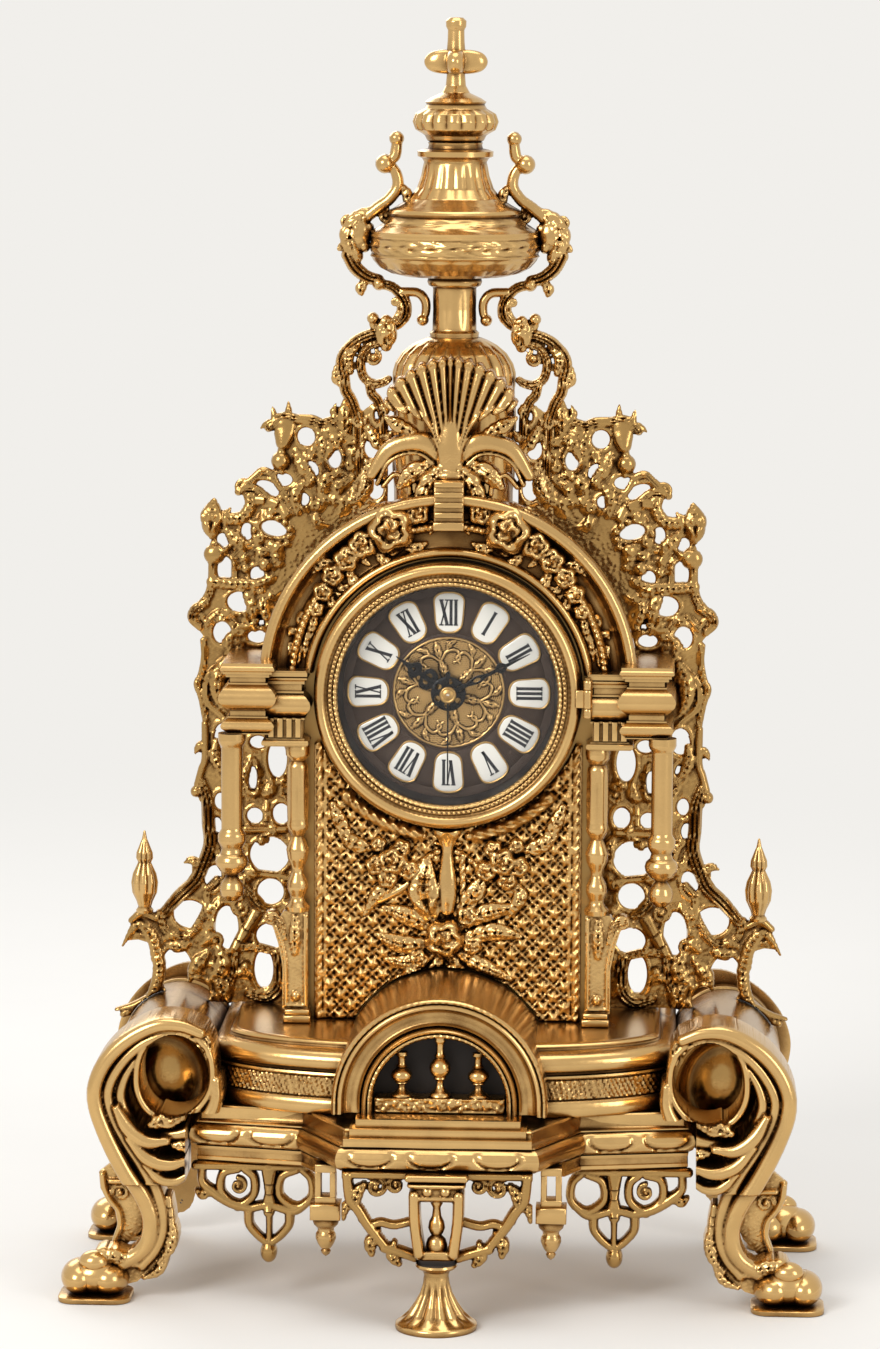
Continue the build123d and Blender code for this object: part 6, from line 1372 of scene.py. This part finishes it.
def foliage(notes):
    relief = Relief(-25.5, 25.5, dialZ - 25.5, dialZ + 25.5, 0.3)
    radius, angle = np.hypot(relief.x, relief.z - dialZ), np.arctan2(relief.z - dialZ, relief.x)
    relief.edge = np.minimum(notes["outer"] - radius, radius - notes["bore"])
    relief.height = 0.1 + 0.1 * np.sin(7 * radius) * np.sin(46 * angle)
    for k in range(notes["repeats"]):
        turn = tau * k / notes["repeats"] + notes["start"]
        c, s = math.cos(turn), math.sin(turn)
        for style, width, line in notes["strokes"]:
            x, z = line.T
            relief.stroke(style, width, np.stack([x * c - z * s, dialZ + x * s + z * c], 1), 0.1,
                          notes["gain"])
    for rise, r, wide in ((0.5, 23.8, 0.45), (0.4, 5.4, 0.5)):  # rings at its edges
        relief.height = np.maximum(relief.height, rise * np.exp(-((radius - r) / wide) ** 2))
    return relief.mesh(notes["front"], notes["back"], edgeRound=0.3)


makePiece("medallionPiece", foliage(medallion), brassDial, "dial_medallion", slot="gilt_brass", sharpAngle=60)

# Numeral plaques: domed enamel shields in thin brass rims, the Roman figures raised on them like fired paint
plaque = {"ring": 35.0, "halfLong": 9.2, "halfWide": 7.5, "power": 0.72,
          "texts": ["XII", "I", "II", "III", "IIII", "V", "VI", "VII", "VIII", "IX", "X", "XI"]}


# Turns points of an upright plaque or hand clockwise about the dial's middle
def clockwise(parts, degrees):
    c, s = math.cos(math.radians(degrees)), math.sin(math.radians(degrees))
    return [(np.stack([p[:, 0] * c + (p[:, 2] - dialZ) * s, p[:, 1],
                       dialZ - p[:, 0] * s + (p[:, 2] - dialZ) * c], -1), f) for p, f in parts]


# Outline of a plaque at a share of its size: wider outside than inside, with shouldered corners
def plaqueOutline(share, count=72):
    a = np.linspace(0, tau, count, endpoint=False)
    x, z = (np.sign(v) * np.abs(v) ** plaque["power"] for v in (np.cos(a), np.sin(a)))
    z = z * plaque["halfLong"]
    x = x * plaque["halfWide"] * (0.91 + 0.11 * z / plaque["halfLong"]) * (1 - 0.05 * np.cos(4 * a))
    return x * share, z * share


# Shells of a plaque: a share of its size and a depth for each ring of points
def plaqueDome(rings):
    rows = []
    for share, depth in rings:
        x, z = plaqueOutline(max(share, 1e-4))
        rows.append(np.stack([x, 0 * x + depth, dialZ + plaque["ring"] + z], -1))
    grid = np.stack(rows, 1)
    return [(grid.reshape(-1, 3), gridFaces(*grid.shape[:2], closeU=True)[:, ::-1])]


shieldFace = plaqueDome(pairs("0 13.05 0.3 13.08 0.6 13.16 0.8 13.28 0.9 13.4 0.93 13.6 0.93 13.98 0 13.98"))
shieldRim = plaqueDome(pairs("0.9 13.5 0.93 13.24 0.97 13.16 1 13.26 1.01 13.5 1.01 13.99 0.9 13.99"))

# Each letter: bars by x of foot, x of head and width; its own width; serifs by x and end; their half width
figures = {"I": ([(0, 0, 1.3)], 2.1, [(0, -1), (0, 1)], 0.42 * 2.1),
           "V": ([(0.1, -1.4, 1.4), (-0.1, 1.4, 0.6)], 3.9, [(-1.25, 1), (1.25, 1)], 0.95),
           "X": ([(1.35, -1.35, 1.4), (-1.35, 1.35, 0.6)], 3.8,
                 [(-1.2, 1), (1.2, 1), (-1.2, -1), (1.2, -1)], 0.95)}


def figureParts(text, front, back, tall=5.4, widest=10.6, serif=0.28):
    widths = [figures[letter][1] for letter in text]
    fit = min(1.0, widest / sum(widths))
    x, z, parts = -sum(widths) * fit / 2, dialZ + plaque["ring"], []
    for letter, wide in zip(text, widths):
        bars, _, feet, reach = figures[letter]
        middle = x + wide * fit / 2
        for foot, head, thick in bars:
            low, high, half = middle + foot * fit, middle + head * fit, thick * fit / 2
            parts += prism([(low - half, z - tall), (low + half, z - tall), (high + half, z + tall),
                            (high - half, z + tall)], front, back)
        for shift, end in feet:
            at, half, end = middle + shift * fit, reach * fit, z + end * tall
            parts += prism([(at - half, end - serif), (at + half, end - serif), (at + half, end + serif),
                            (at - half, end + serif)], front - 0.01, back)
        x += wide * fit
    return parts


# Flat prism over a convex outline given anticlockwise as seen from the front
def prism(outline, front, back):
    n, k = len(outline), np.arange(len(outline))
    pts = np.array([(x, y, z) for y in (front, back) for x, z in outline])
    return [(pts, np.stack([k, k + n, (k + 1) % n + n, (k + 1) % n], 1)), caps(pts, k, k[::-1] + n)]


shields, rims, marks = [], [], []
for hour, text in enumerate(plaque["texts"]):
    shields += clockwise(shieldFace, 30 * hour)
    rims += clockwise(shieldRim, 30 * hour)
    marks += clockwise(figureParts(text, 12.96, 13.3), 30 * hour)
makePiece("plaquesPiece", shields, enamel, "numeral_cartouches", slot="white_enamel", weld=True)
makePiece("plaqueRimsPiece", rims, brassPlain, "numeral_cartouches", slot="white_enamel", weld=True)
makePiece("numeralsPiece", marks, numeralPaint, "numeral_cartouches", slot="white_enamel")
print("dial made")


# A hand is drawn upright on the dial's middle from rods and holes, cut from sheet, then turned to its place;
# strokes and holes are measured from the middle
def handPiece(name, node, body, notes):
    wide, top = notes["field"]
    relief = Relief(-wide, wide, dialZ - 12, dialZ + top, notes["step"])
    for style, width, line in notes["strokes"]:
        relief.stroke(style, width, line + (0, dialZ), 0.0, notes["domed"])
    for x, z, rx, rz in notes["holes"]:
        relief.cut(x, dialZ + z, rx, rz)
    sheet = relief.mesh(notes["front"], notes["back"], edgeRound=0.3)
    makePiece(name, clockwise(sheet, notes["degrees"]), handBlack, node, body=body, slot="black_hands")


hourHand = {
    "field": (9, 29), "step": 0.17, "domed": 0.12, "front": 9.75, "back": 10.2, "degrees": 305.25,
    "strokes": strokes("""
    round 15 15 | 0 -0.1 0 0.1
    round 2.4 2.2 2 | 0 6 0 10 0 17
    twin round 2.2 3 2.4 1.4 | -0.6 7.4 -3 9.6 -3.4 12 -1.4 13.4
    twin round 1.6 2.6 1.6 | -0.6 15.6 -2.6 17.6 -1 20
    round 3 3.4 1.6 0.5 | 0 16.4 0 19 0 23 0 27.6"""),
    "holes": [(5.2 * math.cos(a), 5.2 * math.sin(a), 1.25, 1.25) for a in np.radians(range(30, 390, 60))]
    + [(-1.9, 11, 0.75, 1.1), (1.9, 11, 0.75, 1.1), (0, 18.2, 0.55, 0.9), (0, 0, 2.4, 2.4)]}
minuteHand = {
    "field": (9, 41), "step": 0.17, "domed": 0.12, "front": 7.75, "back": 8.2, "degrees": 63.0,
    "strokes": strokes("""
    round 6.6 6.6 | 0 -0.1 0 0.1
    round 2.2 1.7 1.6 | 0 3 0 10 0 24
    round 1.2 2.6 3.4 2.6 1.2 | 0 9 0 11.6 0 14 0 16.4 0 19
    twin round 1 1.8 1 | -0.3 23.4 -1.5 25.6 -0.4 28
    round 1.8 1.6 1 0.4 | 0 24 0 28 0 33 0 39.4"""),
    "holes": [(0, 14, 0.75, 1.7), (0, 25.8, 0.35, 0.9), (0, 0, 1.7, 1.7)]}
secondHand = {
    "field": (4, 41), "step": 0.16, "domed": 0.1, "front": 5.85, "back": 6.3, "degrees": 180.0,
    "strokes": strokes("""
    round 5 5 | 0 -0.1 0 0.1
    round 1.3 0.9 | 0 -9.6 0 2
    round 2.2 2.2 | 0 -9 0 -8.4
    round 1 0.7 0.6 | 0 0 0 18 0 39"""), "holes": [(0, 0, 0.75, 0.75)]}
handPiece("hourHandPiece", "hour_hand", "hour_arbor", hourHand)
handPiece("minuteHandPiece", "minute_hand", "minute_arbor", minuteHand)
handPiece("secondHandPiece", "second_hand", "second_arbor", secondHand)
cap = dialRing(pairs("3.6 5.7 3.7 5.2 3.4 4.7 2.9 4.6 2.5 4.9 2.2 4.8 1.4 4.4 0.7 4.4 0.7 5.7"), dialZ, 48,
               spacing=0.3)
makePiece("handCapPiece", cap, brassPlain, "second_hand", body="second_arbor", slot="black_hands", weld=True)
print("hands made")

# Carried-over solids take the finish of the real part
finishes = {
    brass: ["side_aprons", "centre_aprons", "pendants", "foot_bracket", "rear_legs", "front_leg_right",
            "front_leg_left", "crest_shell", "garlands", "panel_bouquet", "crest_scrolls", "urn_handles",
            "lower_wings", "upper_wings", "shoulders", "pilasters", "arch_frame", "niche_arch"],
    brassSmooth: ["base_plinth", "centre_foot", "columns", "spires", "niche_grille", "urn_pedestal", "urn_bowl",
                  "urn_cover", "finial", "bezel_ring"],
    brassGround: ["front_panel"],
    brassDial: ["dial_medallion"],
    darkDial: ["dial_plate"],
    darkSheet: ["niche_back", "sight_ring"],
    brassPlain: ["case_shell", "back_door", "door_latch", "hinge_pins", "fixing_nut"],
    enamel: ["numeral_cartouches"],
    glass: ["bezel_glass"],
    handBlack: ["hour_hand", "minute_hand", "second_hand"],
    steel: ["tie_rod", "screws", "battery_contacts", "rotor"],
    blackPlastic: ["movement_case", "movement_cover", "set_knob"],
    whitePlastic: ["step_wheel", "seconds_wheel", "third_wheel", "centre_wheel", "cannon_pinion",
                   "motion_wheel", "hour_wheel"],
    sleeve: ["battery"], laminate: ["circuit_board"], copper: ["stator_coil"],
}
for material, names in finishes.items():
    for name in names:
        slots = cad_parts[name].data.materials
        slots.clear()
        slots.append(material)
print("solids finished")

# Camera from the fitted perspective; the lens is long because the clock was far away.
view = {"place": (0.094, -2.100, 0.558), "yaw": -2.65, "pitch": 7.82, "roll": 0.31, "lens": 131.38}
yaw, pitch, roll = (math.radians(view[k]) for k in ("yaw", "pitch", "roll"))
ahead = Vector((math.sin(yaw) * math.cos(pitch), math.cos(yaw) * math.cos(pitch), -math.sin(pitch)))
right = Vector((math.cos(yaw), -math.sin(yaw), 0))
up = right.cross(ahead)
across = right * math.cos(roll) + up * math.sin(roll)
above = -right * math.sin(roll) + up * math.cos(roll)
lens = bpy.data.cameras.new("camera")
lens.sensor_fit = "VERTICAL"
lens.sensor_height = 36
lens.lens = view["lens"]
lens.clip_start = 0.05
camera = bpy.data.objects.new("camera", lens)
turn = Matrix((across, above, -ahead)).transposed().to_4x4()
camera.matrix_world = Matrix.Translation(view["place"]) @ turn
bpy.context.scene.collection.objects.link(camera)
bpy.context.scene.camera = camera


# 1 for rays from the camera, from metal and through glass
def backgroundRays(tree):
    paths = addNode(tree, "LightPath").outputs
    direct = addNode(tree, "Math", {"operation": "MAXIMUM"},
                     {0: paths["Is Camera Ray"], 1: paths["Is Transmission Ray"]})
    return addNode(tree, "Math", {"operation": "MAXIMUM"}, {0: direct, 1: paths["Is Glossy Ray"]})


# Matt paper: diffuse and shadowed near the clock; far away the camera, metal and glass see the pale
# surround in it
def paper(name, hexColour, near, far):
    material, shader, add = newMaterial(name)
    coords = add("TexCoord").outputs["Object"]
    fibre = add("TexNoise", {"Scale": 1 / (60 * mm)}, {"Vector": coords})
    value = add("MapRange", {"To Min": 0.99, "To Max": 1.01}, {"Value": fibre})
    setNode(shader, {"Roughness": 0.9}, {"Base Color": add("HueSaturation", {"Color": colour(hexColour)},
                                                           {"Value": value})})
    away = add("VectorMath", {"operation": "LENGTH"}, {0: coords})
    fade = add("MapRange", {"interpolation_type": "SMOOTHSTEP", "From Min": near, "From Max": far},
               {"Value": away.outputs["Value"]})
    share = add("Math", {"operation": "MULTIPLY"}, {0: fade, 1: backgroundRays(material.node_tree)})
    glow = add("Emission", {"Color": colour(studio["surround"]), "Strength": 1.0})
    add("OutputMaterial", feeds={"Surface": add("MixShader", feeds={0: share, 1: shader, 2: glow})})
    return material


studio = {"floorHalf": 30.0, "world": 0.5, "surround": "F1EFEB", "key": 34, "fill": 13, "top": 15, "rim": 12}
half = studio["floorHalf"]
floorMesh = bpy.data.meshes.new("floor")
floorMesh.from_pydata([(-half, -half, 0), (half, -half, 0), (half, half, 0), (-half, half, 0)], [],
                      [(0, 1, 2, 3)])
floorMesh.materials.append(paper("paperFloor", studio["surround"], 0.45, 1.5))
floor = bpy.data.objects.new("floor", floorMesh)
bpy.context.scene.collection.objects.link(floor)

world = bpy.data.worlds.new("studioWorld")
bpy.context.scene.world = world
world.use_nodes = True
sky = world.node_tree
sky.nodes.clear()
dim = addNode(sky, "Background", {"Color": colour("FFFFFF"), "Strength": studio["world"]})
clean = addNode(sky, "Background", {"Color": colour(studio["surround"]), "Strength": 1.0})
both = addNode(sky, "MixShader", feeds={0: backgroundRays(sky), 1: dim, 2: clean})
addNode(sky, "OutputWorld", feeds={"Surface": both})


# Soft box aimed at the clock
def softBox(name, place, size, power, target=(0, 0, 0.27)):
    data = bpy.data.lights.new(name, "AREA")
    data.shape = "RECTANGLE"
    data.size, data.size_y = size
    data.energy = power
    lamp = bpy.data.objects.new(name, data)
    bpy.context.scene.collection.objects.link(lamp)
    lamp.location = place
    lamp.rotation_euler = (Vector(target) - Vector(place)).to_track_quat("-Z", "Y").to_euler()


softBox("keyLamp", (-1.3, -1.9, 1.5), (1.1, 1.1), studio["key"])
softBox("fillLamp", (1.9, -1.5, 0.9), (0.7, 1.4), studio["fill"])
softBox("topLamp", (0.1, 0.1, 2.2), (1.4, 1.4), studio["top"])
softBox("rimLamp", (-0.8, 1.9, 1.3), (1.4, 1.0), studio["rim"])

bpy.context.scene.view_settings.view_transform = "Standard"
print("camera and lights set")
